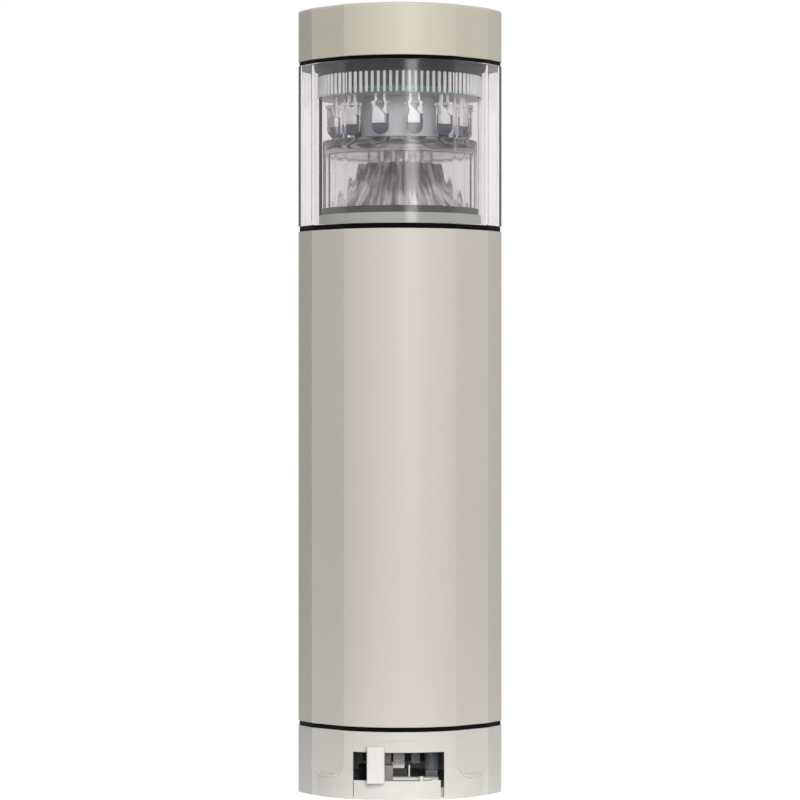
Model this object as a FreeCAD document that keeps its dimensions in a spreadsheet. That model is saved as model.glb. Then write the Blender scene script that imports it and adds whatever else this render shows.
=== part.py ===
import FreeCAD, Part
import math
import os

import Sketcher

from FreeCAD import Placement, Rotation, Vector

# A signal tower for a machine: a grey column with one clear lamp section near
# its top.  The column stands on its foot: +Z is up, the origin is the centre
# of the foot, the front (with the service window) looks along -Y.
# Every length is in millimetres.

SIZES = {
    # the column's section: bowed front and back, five flats on each side; the
    # turns are measured round from the front, in degrees
    "outer_radius": 30.0,
    "bow_turn": 33.03,
    "shoulder_turn": 58.1,
    "shoulder_proud": 0.45,
    "side_turn": 74.0,
    # the stack, from the foot up
    "base_tall": 19.7,
    "base_seal": 1.3,
    "body_tall": 144.5,
    "lens_seal": 1.5,
    "lens_tall": 47.5,
    "cap_seal": 1.1,
    "cap_tall": 15.3,
    "cap_edge": 1.0,
    # walls and seals
    "seal_inset": 0.35,
    "base_wall": 3.2,
    "body_wall": 3.8,
    "ledge_wall": 2.8,
    "lens_wall": 1.6,
    "core_wall": 5.0,
    "cap_wall": 3.5,
    "seal_lap": 0.5,
    "deck": 2.5,
    "fit": 0.2,
    "running": 0.15,
    # the foot: where the flats stop, and the service window
    "flat_foot": 6.6,
    "flat_corner": 3.4,
    "window_left": 13.6,
    "window_right": 12.8,
    "window_top": 13.8,
    "sill_tall": 5.5,
    "sill_gap": 1.0,
    "sill_set_back": 0.4,
    "sill_deep": 3.4,
    "bead_radius": 1.7,
    "bead_proud": 0.5,
    # the mounting plate
    "plate_thick": 3.0,
    "cable_radius": 6.0,
    "mount_circle": 20.0,
    "mount_hole": 2.2,
    # the latch that slides along the window
    "rail_wide": 3.0,
    "rail_tall": 3.0,
    "rail_set_back": 7.1,
    "rail_long": 23.0,
    "rail_end": 1.6,
    "carriage_long": 10.0,
    "carriage_wall": 0.8,
    "carriage_tall": 5.4,
    "carriage_clear": 1.2,
    "knob_wide": 5.15,
    "knob_tall": 10.7,
    "knob_thick": 1.7,
    "knob_edge": 0.5,
    "knob_gap": 0.4,
    "knob_from_left": 4.0,
    "knob_foot": 5.0,
    "stem_wide": 3.6,
    "stem_foot": 7.8,
    "stem_tall": 5.0,
    "pin_from_right": 6.6,
    "pin_radius": 0.6,
    "pin_tall": 1.3,
    # electrics in the foot
    "board_thick": 1.6,
    "board_hang": 1.3,
    "board_inset": 0.6,
    "post_radius": 1.8,
    "post_inset": 5.2,
    "terminal_long": 22.0,
    "terminal_deep": 8.0,
    "terminal_tall": 7.0,
    "terminal_back": 7.5,
    "terminal_ways": 5.0,
    "terminal_hole": 2.4,
    "entry_deep": 4.8,
    "switch_left": 1.9,
    "switch_set_back": 6.0,
    "switch_deep": 4.0,
    "switch_wide": 3.2,
    "switch_tall": 4.2,
    "can_radius": 2.2,
    "can_tall": 6.5,
    "can_right": 9.2,
    "can_set_back": 12.6,
    # inside the body
    "bulkhead_plug": 4.0,
    "bulkhead_floor": 2.4,
    "collar_gap": 0.8,
    "collar_wall": 2.5,
    "collar_tall": 4.95,
    "wire_hole": 5.0,
    "rod_radius": 1.5,
    "rod_inset": 12.0,
    "rod_head": 2.6,
    "rod_head_tall": 1.0,
    "nut_tall": 2.4,
    "driver_wide": 30.0,
    "driver_back": 3.0,
    "coil_radius": 5.0,
    "coil_tall": 6.0,
    # the lamp section
    "cup_gap": 2.5,
    "cup_plate": 4.1,
    "cup_skirt": 16.05,
    "cup_wall": 1.5,
    "dimple_radius": 3.3,
    "dimple_floor": 1.5,
    "dimple_deep": 2.2,
    "heel_gap": 2.0,
    "heel_thick": 2.1,
    "cone_gap": 1.0,
    "cone_top": 11.9,
    "cone_tall": 13.45,
    "cone_ridges": 18.0,
    "cone_fold": 1.7,
    "peg_radius": 0.7,
    "lamp_count": 12.0,
    "lamp_inset": 3.5,
    "lamp_turn": 12.6,
    "lamp_radius": 2.5,
    "lamp_straight": 6.2,
    "lamp_flange": 2.9,
    "flange_thick": 1.0,
    "nose_radius": 1.95,
    "nose_drop": 1.55,
    "tip_radius": 0.95,
    "tip_drop": 2.4,
    "lead_long": 3.2,
    "lead_thick": 0.5,
    "lead_apart": 2.54,
    "rib_count": 84.0,
    "rib_gap": 0.3,
    "rib_proud": 0.75,
    "rib_wall": 0.55,
    "rib_wide": 0.8,
    "rib_tall": 7.1,
    "spacer_gap": 1.0,
    "spacer_wall": 2.0,
    "carrier_flange": 2.0,
    "carrier_drop": 1.1,
    "wire_radius": 0.4,
    "wire_gap": 0.3,
}

doc = FreeCAD.newDocument("signal_tower")
sheet = doc.addObject("Spreadsheet::Sheet", "Dims")
for row, (alias, number) in enumerate(SIZES.items(), start=1):
    sheet.set(f"A{row}", alias)
    sheet.set(f"B{row}", str(number))
    sheet.setAlias(f"B{row}", alias)
doc.recompute()


def size(alias):
    """A driving dimension, read back from the sheet."""
    return float(sheet.get(alias))


def cell(alias):
    """The same dimension as a term of an expression."""
    return f"Dims.{alias}"


def total(*aliases):
    """A bracketed sum of cells, for an expression."""
    return "(" + " + ".join(cell(alias) for alias in aliases) + ")"


def less(first, *others):
    """A bracketed cell with others taken away, for an expression."""
    return "(" + " - ".join(cell(alias) for alias in (first,) + others) + ")"


# the levels at which the sections of the stack begin
BODY_FOOT = ("base_tall", "base_seal")
BODY_TOP = BODY_FOOT + ("body_tall",)
LENS_FOOT = BODY_TOP + ("lens_seal",)
LENS_TOP = LENS_FOOT + ("lens_tall",)
CAP_FOOT = LENS_TOP + ("cap_seal",)
HEEL_FOOT = BODY_TOP + ("collar_tall",)
CUP_FOOT = HEEL_FOOT + ("heel_thick",)

# the underside of the board that carries the lamps, hung from the top
CARRIER_FOOT = f"({total(*LENS_TOP)} - {cell('carrier_drop')})"
LAMP_BOARD_FOOT = f"({CARRIER_FOOT} - {cell('rib_tall')})"
DECK_UNDERSIDE = f"({cell('base_tall')} - {cell('deck')})"
FOOT_BOARD = f"({DECK_UNDERSIDE} - {cell('board_hang')} - {cell('board_thick')})"


# radii, each a wall or a gap away from the one it seats in
BASE_BORE = less("outer_radius", "base_wall")
CORE_RADIUS = less("outer_radius", "core_wall")
SEAL_BORE = f"({CORE_RADIUS} - {cell('seal_lap')})"
COLLAR_RADIUS = f"({CORE_RADIUS} - {cell('collar_gap')})"
CUP_RADIUS = f"({CORE_RADIUS} - {cell('cup_gap')})"
HEEL_RADIUS = f"({CORE_RADIUS} - {cell('heel_gap')})"
CONE_FOOT = f"({CUP_RADIUS} - {cell('cup_wall')} - {cell('cone_gap')})"
LAMP_CIRCLE = f"({CUP_RADIUS} - {cell('lamp_inset')})"
RIB_RADIUS = f"({CORE_RADIUS} - {cell('rib_gap')})"
RIB_ROOT = f"({RIB_RADIUS} - {cell('rib_proud')})"
RIB_BORE = f"({RIB_ROOT} - {cell('rib_wall')})"
ROD_CIRCLE = less("outer_radius", "rod_inset")


def level(*aliases):
    """The height of a level, in millimetres."""
    return sum(size(alias) for alias in aliases)


def width(first, *others):
    """A size with others taken away, in millimetres."""
    return size(first) - sum(size(alias) for alias in others)


CORE_RADIUS_NOW = width("outer_radius", "core_wall")
LAMP_CIRCLE_NOW = CORE_RADIUS_NOW - level("cup_gap", "lamp_inset")
CONE_FOOT_NOW = CORE_RADIUS_NOW - level("cup_gap", "cup_wall", "cone_gap")


# ---------------------------------------------------------------- sketch helpers

def new_body(label):
    """A PartDesign body that may hold several separate lumps."""
    body = doc.addObject("PartDesign::Body", label)
    body.Label = label
    body.AllowCompound = True
    return body


def new_sketch(body, name, height="0", role="XY_Plane"):
    """A sketch on one of the body's own origin planes, lifted by an expression."""
    plane = next(item for item in body.Origin.OriginFeatures if item.Role == role)
    sketch = body.newObject("Sketcher::SketchObject", f"{body.Name}_{name}")
    sketch.AttachmentSupport = (plane, "")
    sketch.MapMode = "FlatFace"
    sketch.setExpression("AttachmentOffset.Base.z", height)
    return sketch


def bind(sketch, constraint, expression):
    """Adds a constraint and drives it by an expression."""
    index = sketch.addConstraint(constraint)
    sketch.setExpression(f"Constraints[{index}]", expression)


def place(sketch, geometry, point, across, along, start):
    """Fixes a point of the geometry by two signed distances from the origin."""
    for kind, expression, place_now in (("DistanceX", across, start.x), ("DistanceY", along, start.y)):
        if expression is None:
            axis = -2 if kind == "DistanceX" else -1
            sketch.addConstraint(Sketcher.Constraint("PointOnObject", geometry, point, axis))
        elif place_now >= 0:
            bind(sketch, Sketcher.Constraint(kind, -1, 1, geometry, point, place_now), expression)
        else:
            bind(sketch, Sketcher.Constraint(kind, geometry, point, -1, 1, -place_now), expression)


def circle(sketch, radius, across=None, along=None, start=Vector(), radius_now=1.0):
    """A circle whose centre lies on the origin or at driven distances from it."""
    index = sketch.addGeometry(Part.Circle(start, Vector(0, 0, 1), radius_now), False)
    if across is None and along is None:
        sketch.addConstraint(Sketcher.Constraint("Coincident", index, 3, -1, 1))
    else:
        place(sketch, index, 3, across, along, start)
    bind(sketch, Sketcher.Constraint("Radius", index, radius_now), radius)
    return index


def chain(sketch, corners):
    """A closed chain of lines through the given corners; returns their indices."""
    count = len(corners)
    lines = []
    for spot in range(count):
        line = Part.LineSegment(corners[spot], corners[(spot + 1) % count])
        lines.append(sketch.addGeometry(line, False))
    for spot in range(count):
        link = Sketcher.Constraint("Coincident", lines[spot], 2, lines[(spot + 1) % count], 1)
        sketch.addConstraint(link)
    return lines


def rectangle(sketch, left, right, bottom, top, corners):
    """A rectangle driven by four signed distances; corners are its present sides."""
    x_low, x_high, y_low, y_high = corners
    points = [Vector(x_low, y_low), Vector(x_high, y_low), Vector(x_high, y_high), Vector(x_low, y_high)]
    lines = chain(sketch, points)
    for spot, kind in enumerate(("Horizontal", "Vertical", "Horizontal", "Vertical")):
        sketch.addConstraint(Sketcher.Constraint(kind, lines[spot]))
    place(sketch, lines[0], 1, left, bottom, points[0])
    place(sketch, lines[2], 1, right, top, points[2])
    return lines


def polygon(sketch, sides, radius, radius_now, across=None, along=None, start=Vector()):
    """A regular polygon with one side facing +X, its corners on a driven circle."""
    rim = circle(sketch, radius, across, along, start, radius_now)
    sketch.toggleConstruction(rim)
    step = 2 * math.pi / sides
    corners = []
    for spot in range(sides):
        angle = (spot + 0.5) * step
        corners.append(start + Vector(radius_now * math.cos(angle), radius_now * math.sin(angle)))
    lines = chain(sketch, corners)
    for line in lines:
        sketch.addConstraint(Sketcher.Constraint("PointOnObject", line, 1, rim))
    for line in lines[1:]:
        sketch.addConstraint(Sketcher.Constraint("Equal", lines[0], line))
    sketch.addConstraint(Sketcher.Constraint("Vertical", lines[-1]))
    return lines


def section_corners(radius, radius_now):
    """One quadrant's corners, as terms and as points: the bow's end, then two flats."""
    bow, shoulder, side = size("bow_turn"), size("shoulder_turn"), size("side_turn")
    reach_now = radius_now + size("shoulder_proud")
    now = [
        Vector(radius_now * math.sin(math.radians(bow)), radius_now * math.cos(math.radians(bow))),
        Vector(reach_now * math.sin(math.radians(shoulder)), reach_now * math.cos(math.radians(shoulder))),
        Vector(radius_now, radius_now / math.tan(math.radians(side))),
    ]
    bow, shoulder, side = [f"{cell(turn)} * 1 deg" for turn in ("bow_turn", "shoulder_turn", "side_turn")]
    reach = f"({radius} + {cell('shoulder_proud')})"
    terms = [
        (f"{radius} * sin({bow})", f"{radius} * cos({bow})"),
        (f"{reach} * sin({shoulder})", f"{reach} * cos({shoulder})"),
        (radius, f"{radius} / tan({side})"),
    ]
    return terms, now


def column_section(sketch, *walls):
    """The column's section, or one inside it: bowed front and back, flats at the sides."""
    outer = less("outer_radius", *walls)
    outer_now = width("outer_radius", *walls)
    terms, right = section_corners(outer, outer_now)
    points = [Vector(p.x, -p.y) for p in right] + [Vector(p.x, p.y) for p in reversed(right)]
    points = points + [Vector(-p.x, -p.y) for p in points]
    edges = []
    for spot, point in enumerate(points):
        after = points[(spot + 1) % len(points)]
        if spot in (5, 11):
            middle = Vector(0, outer_now if spot == 5 else -outer_now)
            edges.append(sketch.addGeometry(Part.Arc(point, middle, after), False))
        else:
            edges.append(sketch.addGeometry(Part.LineSegment(point, after), False))
    # an arc always runs counter-clockwise, as this outline does, so ends match
    for spot, edge in enumerate(edges):
        after = edges[(spot + 1) % len(edges)]
        sketch.addConstraint(Sketcher.Constraint("Coincident", edge, 2, after, 1))
    for edge in (edges[5], edges[11]):
        sketch.addConstraint(Sketcher.Constraint("Coincident", edge, 3, -1, 1))
        bind(sketch, Sketcher.Constraint("Radius", edge, outer_now), outer)
    for spot, point in enumerate(points):
        across, along = terms[min(spot % 6, 5 - spot % 6)]
        if spot % 6 in (0, 5):
            start_is_left = point.x < 0
            pair = (edges[spot], 1, -1, 1) if start_is_left else (-1, 1, edges[spot], 1)
            bind(sketch, Sketcher.Constraint("DistanceX", *pair, abs(point.x)), across)
        else:
            place(sketch, edges[spot], 1, across, along, point)


def pad(body, sketch, length, name="pad"):
    """Raises a sketch along +Z."""
    feature = body.newObject("PartDesign::Pad", f"{body.Name}_{name}")
    feature.Profile = sketch
    feature.setExpression("Length", length)
    sketch.Visibility = False
    return feature


def pocket(body, sketch, depth, name, reversed_cut=False):
    """Cuts a sketch out of the body; a reversed cut goes along +Z."""
    doc.recompute()
    feature = body.newObject("PartDesign::Pocket", f"{body.Name}_{name}_cut")
    feature.Profile = sketch
    feature.Reversed = reversed_cut
    feature.setExpression("Length", depth)
    check_cut(feature)
    return feature


def check_cut(feature):
    """Stops if a cutting feature has taken nothing off the solid before it."""
    doc.recompute()
    if feature.Shape.Volume > feature.BaseFeature.Shape.Volume - 1e-6:
        raise RuntimeError(f"{feature.Name} cuts nothing")


def edges_where(feature, test):
    """Names of the edges of a feature whose ends and centre all pass the test."""
    names = []
    for number, edge in enumerate(feature.Shape.Edges, start=1):
        spots = [vertex.Point for vertex in edge.Vertexes] + [edge.CenterOfMass]
        if all(test(spot) for spot in spots):
            names.append(f"Edge{number}")
    return names


def fillet(body, feature, test, radius, name="fillet"):
    """Rounds the chosen edges of the body's last feature."""
    doc.recompute()
    rounding = body.newObject("PartDesign::Fillet", f"{body.Name}_{name}")
    rounding.Base = (feature, edges_where(feature, test))
    rounding.setExpression("Radius", radius)
    return rounding


def polar(body, feature, count, name="pattern"):
    """Repeats a feature evenly about the body's Z axis."""
    axis = next(item for item in body.Origin.OriginFeatures if item.Role == "Z_Axis")
    pattern = body.newObject("PartDesign::PolarPattern", f"{body.Name}_{name}")
    pattern.Originals = [feature]
    pattern.Axis = (axis, [""])
    pattern.Angle = 360
    pattern.setExpression("Occurrences", count)
    body.Tip = pattern
    return pattern


def lift(item, height):
    """Sets an object's Placement to a driven height."""
    item.setExpression("Placement.Base.z", height)



# ---------------------------------------------------------------- the outer shells

def seal_ring(label, thick, height, bored=True):
    """A black seal between two sections, a little inside their outline."""
    body = new_body(label)
    sketch = new_sketch(body, "section")
    column_section(sketch, "seal_inset")
    if bored:
        circle(sketch, SEAL_BORE)
    else:
        column_section(sketch, "base_wall")
    pad(body, sketch, cell(thick))
    lift(body, height)
    return body


def flat_recess(body, side, face):
    """Cuts one slanted flat into the round foot; it stops above the foot's edge."""
    terms, corners = section_corners(cell("outer_radius"), size("outer_radius"))
    bow_end, flat_end = corners[:2]
    (bow_across, bow_along), (flat_across, flat_along) = terms[:2]
    rise = f"({bow_along} - {flat_along})"
    run = f"({flat_across} - {bow_across})"
    slant = f"atan({rise} / {run})"
    name = f"flat_{'right' if side > 0 else 'left'}_{'front' if face > 0 else 'back'}"
    sketch = new_sketch(body, name, "0", "XZ_Plane")
    turn = math.degrees(math.atan2(bow_end.y - flat_end.y, flat_end.x - bow_end.x))
    turn = turn if face > 0 else 180 - turn
    sketch.AttachmentOffset = Placement(Vector(), Rotation(Vector(0, side, 0), turn))
    angle = slant if face > 0 else f"180 deg - {slant}"
    sketch.setExpression("AttachmentOffset.Rotation.Angle", angle)
    sketch.setExpression("AttachmentOffset.Base.x", f"{side} * ({bow_across} + {flat_across}) / 2")
    sketch.setExpression("AttachmentOffset.Base.z", f"{face} * ({bow_along} + {flat_along}) / 2")
    half = 0.5 * math.hypot(flat_end.x - bow_end.x, bow_end.y - flat_end.y)
    foot, top = size("flat_foot"), size("base_tall")
    corner = size("flat_corner")
    low = foot + corner
    cut = math.sqrt(0.5) * corner
    left_bend = Vector(-half + corner - cut, low - cut)
    right_bend = Vector(half - corner + cut, low - cut)
    outline = [
        Part.LineSegment(Vector(-half, top), Vector(-half, low)),
        Part.Arc(Vector(-half, low), left_bend, Vector(-half + corner, foot)),
        Part.LineSegment(Vector(-half + corner, foot), Vector(half - corner, foot)),
        Part.Arc(Vector(half - corner, foot), right_bend, Vector(half, low)),
        Part.LineSegment(Vector(half, low), Vector(half, top)),
        Part.LineSegment(Vector(half, top), Vector(-half, top)),
    ]
    edges = [sketch.addGeometry(edge, False) for edge in outline]
    for spot in (0, 1, 2, 3):
        sketch.addConstraint(Sketcher.Constraint("Tangent", edges[spot], 2, edges[spot + 1], 1))
    sketch.addConstraint(Sketcher.Constraint("Coincident", edges[4], 2, edges[5], 1))
    sketch.addConstraint(Sketcher.Constraint("Coincident", edges[5], 2, edges[0], 1))
    sketch.addConstraint(Sketcher.Constraint("Vertical", edges[0]))
    sketch.addConstraint(Sketcher.Constraint("Horizontal", edges[5]))
    sketch.addConstraint(Sketcher.Constraint("Horizontal", edges[2]))
    sketch.addConstraint(Sketcher.Constraint("Equal", edges[1], edges[3]))
    bind(sketch, Sketcher.Constraint("Radius", edges[1], corner), cell("flat_corner"))
    half_chord = f"sqrt({rise}^2 + {run}^2) / 2"
    place(sketch, edges[0], 1, half_chord, cell("base_tall"), outline[0].StartPoint)
    bind(sketch, Sketcher.Constraint("DistanceX", -1, 1, edges[4], 2, half), half_chord)
    bind(sketch, Sketcher.Constraint("DistanceY", -1, 1, edges[2], 1, foot), cell("flat_foot"))
    pocket(body, sketch, f"{flat_across} / 4", name, True)


def base_housing():
    """The foot's housing: round below, flats above, open at the front and below."""
    body = new_body("base_housing")
    sketch = new_sketch(body, "section")
    column_section(sketch)
    pad(body, sketch, cell("base_tall"), "block")
    round_foot = new_sketch(body, "round_foot")
    circle(round_foot, cell("outer_radius"))
    pad(body, round_foot, cell("base_tall"), "round_pad")
    for side in (-1, 1):
        for face in (1, -1):
            flat_recess(body, side, face)
    bore = new_sketch(body, "bore")
    circle(bore, BASE_BORE)
    pocket(body, bore, DECK_UNDERSIDE, "bore", True)
    window = new_sketch(body, "window", "0", "XZ_Plane")
    sides = (-size("window_left"), size("window_right"), 0.0, size("window_top"))
    rectangle(window, cell("window_left"), cell("window_right"), None, cell("window_top"), sides)
    pocket(body, window, cell("outer_radius") + " + 2", "window", True)
    wires = new_sketch(body, "wires", DECK_UNDERSIDE)
    polygon(wires, 12, cell("wire_hole"), size("wire_hole"))
    pocket(body, wires, cell("deck"), "wires", True)
    rod_holes(body, DECK_UNDERSIDE, cell("deck"))
    boss = new_sketch(body, "boss", f"{DECK_UNDERSIDE} - {cell('board_hang')}")
    away = Vector(0, -width("outer_radius", "base_wall", "post_inset"))
    post_circle = f"({BASE_BORE} - {cell('post_inset')})"
    polygon(boss, 8, cell("post_radius"), size("post_radius"), None, post_circle, away)
    post = pad(body, boss, cell("board_hang"), "boss_pad")
    polar(body, post, "3", "bosses")
    return body


def rod_holes(body, height, depth):
    """Three clearance holes for the tie rods, evenly about the axis."""
    sketch = new_sketch(body, "rod_hole", height)
    away = Vector(0, width("outer_radius", "rod_inset"))
    polygon(sketch, 8, total("rod_radius", "fit"), level("rod_radius", "fit"), None, ROD_CIRCLE, away)
    hole = pocket(body, sketch, depth, "rod_hole", True)
    polar(body, hole, "3", "rod_holes")


def body_housing():
    """The long plain body: hollow, with a ledge at its top for the bulkhead."""
    body = new_body("body_housing")
    sketch = new_sketch(body, "section")
    column_section(sketch)
    column_section(sketch, "body_wall")
    pad(body, sketch, cell("body_tall"))
    ledge = new_sketch(body, "ledge", less("body_tall", "bulkhead_plug"))
    column_section(ledge, "ledge_wall")
    pocket(body, ledge, cell("bulkhead_plug"), "ledge", True)
    lift(body, total(*BODY_FOOT))
    return body


def lens():
    """The clear section: a thin wall that follows the outline inside and out."""
    body = new_body("lens")
    sketch = new_sketch(body, "section")
    column_section(sketch)
    column_section(sketch, "lens_wall")
    pad(body, sketch, cell("lens_tall"))
    lift(body, total(*LENS_FOOT))
    return body


def top_cap():
    """The closed cap, hollow from below, its top edge eased."""
    body = new_body("top_cap")
    sketch = new_sketch(body, "section")
    column_section(sketch)
    straight = less("cap_tall", "cap_edge")
    pad(body, sketch, straight, "block")
    crown_foot = new_sketch(body, "crown_foot", straight)
    column_section(crown_foot)
    crown_top = new_sketch(body, "crown_top", cell("cap_tall"))
    column_section(crown_top, "cap_edge")
    crown = body.newObject("PartDesign::AdditiveLoft", "top_cap_crown")
    crown.Profile = crown_foot
    crown.Sections = [crown_top]
    crown.Ruled = True
    hollow = new_sketch(body, "hollow")
    column_section(hollow, "cap_wall")
    pocket(body, hollow, less("cap_tall", "deck"), "hollow", True)
    lift(body, total(*CAP_FOOT))
    return body


# ---------------------------------------------------------------- plain solids

def box(name, low, extent):
    """A Part box whose low corner and extent are given by expressions."""
    item = doc.addObject("Part::Box", name)
    for axis, expression in zip("xyz", low):
        item.setExpression(f"Placement.Base.{axis}", expression)
    for side, expression in zip(("Length", "Width", "Height"), extent):
        item.setExpression(side, expression)
    return item


def cylinder(name, radius, tall, foot=("0", "0", "0")):
    """An upright Part cylinder standing at the given foot."""
    item = doc.addObject("Part::Cylinder", name)
    item.setExpression("Radius", radius)
    item.setExpression("Height", tall)
    for axis, expression in zip("xyz", foot):
        item.setExpression(f"Placement.Base.{axis}", expression)
    return item


def lying(item):
    """Turns an upright solid so that its axis runs along +Y from its foot."""
    item.Placement = Placement(Vector(), Rotation(Vector(1, 0, 0), -90))
    return item


def prism(name, sides, radius, tall, foot=("0", "0", "0")):
    """An upright Part prism, its corners on a circle round the given foot."""
    item = doc.addObject("Part::Prism", name)
    item.Polygon = sides
    item.setExpression("Circumradius", radius)
    item.setExpression("Height", tall)
    for axis, expression in zip("xyz", foot):
        item.setExpression(f"Placement.Base.{axis}", expression)
    return item


def around(name, radius, tall, reach, height, count, first, sides=None):
    """Upright cylinders or prisms spread evenly on a circle, the first at an angle."""
    posts = []
    for spot in range(count):
        angle = first + 360 * spot / count
        foot = (f"{reach} * cos({angle} deg)", f"{reach} * sin({angle} deg)", height)
        if sides:
            posts.append(prism(f"{name}_{spot + 1}", sides, radius, tall, foot))
        else:
            posts.append(cylinder(f"{name}_{spot + 1}", radius, tall, foot))
    return posts


def fuse(label, items):
    """One solid from several."""
    item = doc.addObject("Part::MultiFuse", label)
    item.Label = label
    item.Shapes = items
    item.Refine = True
    return item


def cut(label, base, tool):
    """The base with the tool taken away."""
    item = doc.addObject("Part::Cut", label)
    item.Label = label
    item.Base = base
    item.Tool = tool
    item.Refine = True
    return item


def ring(sides, radius, height):
    """The corners of a regular polygon about the Z axis, one side facing +X."""
    step = 2 * math.pi / sides
    angles = [(spot + 0.5) * step for spot in range(sides)]
    return [Vector(radius * math.cos(angle), radius * math.sin(angle), height) for angle in angles]


def stacked(rings):
    """A solid with true flat faces, from rings of corners given from the foot up."""
    faces = [Part.Face(Part.makePolygon(end + end[:1])) for end in (rings[0], rings[-1])]
    for low, high in zip(rings, rings[1:]):
        for spot in range(len(low)):
            after = (spot + 1) % len(low)
            corners = [low[spot], low[after], high[after], high[spot]]
            faces.append(Part.Face(Part.makePolygon(corners + corners[:1])))
    solid = Part.Solid(Part.Shell(faces))
    if solid.Volume < 0:
        solid.reverse()
    return solid


def copies_at_lamps(solid, reach):
    """One copy of a solid under each lamp, moved out from the axis and turned."""
    count = int(size("lamp_count"))
    copies = []
    for spot in range(count):
        turn = Rotation(Vector(0, 0, 1), size("lamp_turn") + 360 * spot / count)
        copy = solid.copy()
        copy.Placement = Placement(turn.multVec(Vector(reach, 0, 0)), turn)
        copies.append(copy)
    return Part.makeCompound(copies)


def shaped(label, shape):
    """A Part feature for flat-faced forms that a loft would turn into splines."""
    item = doc.addObject("Part::Feature", label)
    item.Label = label
    item.Shape = shape
    return item


def common(label, items):
    """What the items share."""
    item = doc.addObject("Part::MultiCommon", label)
    item.Label = label
    item.Shapes = items
    return item


# ---------------------------------------------------------------- the foot

SILL_LEFT = f"(-{cell('window_left')} + {cell('running')})"
SILL_LONG = f"({total('window_left', 'window_right')} - {cell('running')} - {cell('sill_gap')})"
SILL_RADIUS = less("outer_radius", "sill_set_back")
RAIL_FROM_AXIS = less("outer_radius", "rail_set_back")
RAIL_LEFT = f"({cell('window_right')} - {cell('rail_end')} - {cell('rail_long')})"


def mount_plate():
    """The plate that bolts to the machine, its sill filling the foot of the window."""
    disc = cylinder("plate_disc", f"{BASE_BORE} - {cell('fit')}", cell("plate_thick"))
    reach = cell("outer_radius")
    half = f"{reach} / 2"
    tongue = box("plate_tongue", (SILL_LEFT, f"-{reach}", "0"), (SILL_LONG, half, cell("plate_thick")))
    deep = f"{cell('sill_set_back')} + {cell('sill_deep')}"
    sill = box("plate_sill", (SILL_LEFT, f"-{reach}", "0"), (SILL_LONG, deep, cell("sill_tall")))
    bead_across = f"{SILL_LEFT} + {SILL_LONG} - {cell('bead_radius')}"
    bead_up = f"{cell('sill_tall')} + {cell('bead_proud')} - {cell('bead_radius')}"
    bead = lying(cylinder("plate_bead", cell("bead_radius"), deep, (bead_across, f"-{reach}", bead_up)))
    bow = cylinder("plate_bow", SILL_RADIUS, cell("base_tall"))
    front = common("plate_front", [fuse("plate_front_block", [tongue, sill, bead]), bow])
    rail_low = (RAIL_LEFT, f"-{RAIL_FROM_AXIS} - {cell('rail_wide')} / 2", cell("plate_thick"))
    rail = box("plate_rail", rail_low, (cell("rail_long"), cell("rail_wide"), cell("rail_tall")))
    solid = fuse("plate_solid", [disc, front, rail])
    deep_cut = cell("plate_thick")
    holes = around("mount_bore", cell("mount_hole"), deep_cut, cell("mount_circle"), "0", 3, 90)
    holes.append(cylinder("cable_bore", cell("cable_radius"), deep_cut))
    return cut("mount_plate", solid, fuse("plate_holes", holes))


def latch_pin():
    """The small pin on the sill that the latch clicks over."""
    across = f"{cell('window_right')} - {cell('pin_from_right')}"
    back = f"-{SILL_RADIUS} + {cell('sill_deep')} / 2"
    return prism("latch_pin", 12, cell("pin_radius"), cell("pin_tall"), (across, back, cell("sill_tall")))


KNOB_LEFT = f"(-{cell('window_left')} + {cell('knob_from_left')})"
KNOB_MIDDLE = f"({KNOB_LEFT} + {cell('knob_wide')} / 2)"
CARRIAGE_HALF = f"({cell('rail_wide')} / 2 + {cell('running')} + {cell('carriage_wall')})"
CARRIAGE_FRONT = f"(-{RAIL_FROM_AXIS} - {CARRIAGE_HALF})"
CARRIAGE_FOOT = f"({total('plate_thick', 'carriage_clear')})"


def latch_carriage():
    """The carriage that straddles the plate's rail and carries the knob."""
    low = (f"{KNOB_MIDDLE} - {cell('carriage_long')} / 2", CARRIAGE_FRONT, CARRIAGE_FOOT)
    extent = (cell("carriage_long"), f"2 * {CARRIAGE_HALF}", cell("carriage_tall"))
    block = box("carriage_block", low, extent)
    slot_half = f"({cell('rail_wide')} / 2 + {cell('running')})"
    slot_low = (low[0], f"-{RAIL_FROM_AXIS} - {slot_half}", CARRIAGE_FOOT)
    slot_tall = f"{cell('rail_tall')} - {cell('carriage_clear')} + {cell('running')}"
    slot = box("carriage_slot", slot_low, (cell("carriage_long"), f"2 * {slot_half}", slot_tall))
    return cut("latch_carriage", block, slot)


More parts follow.
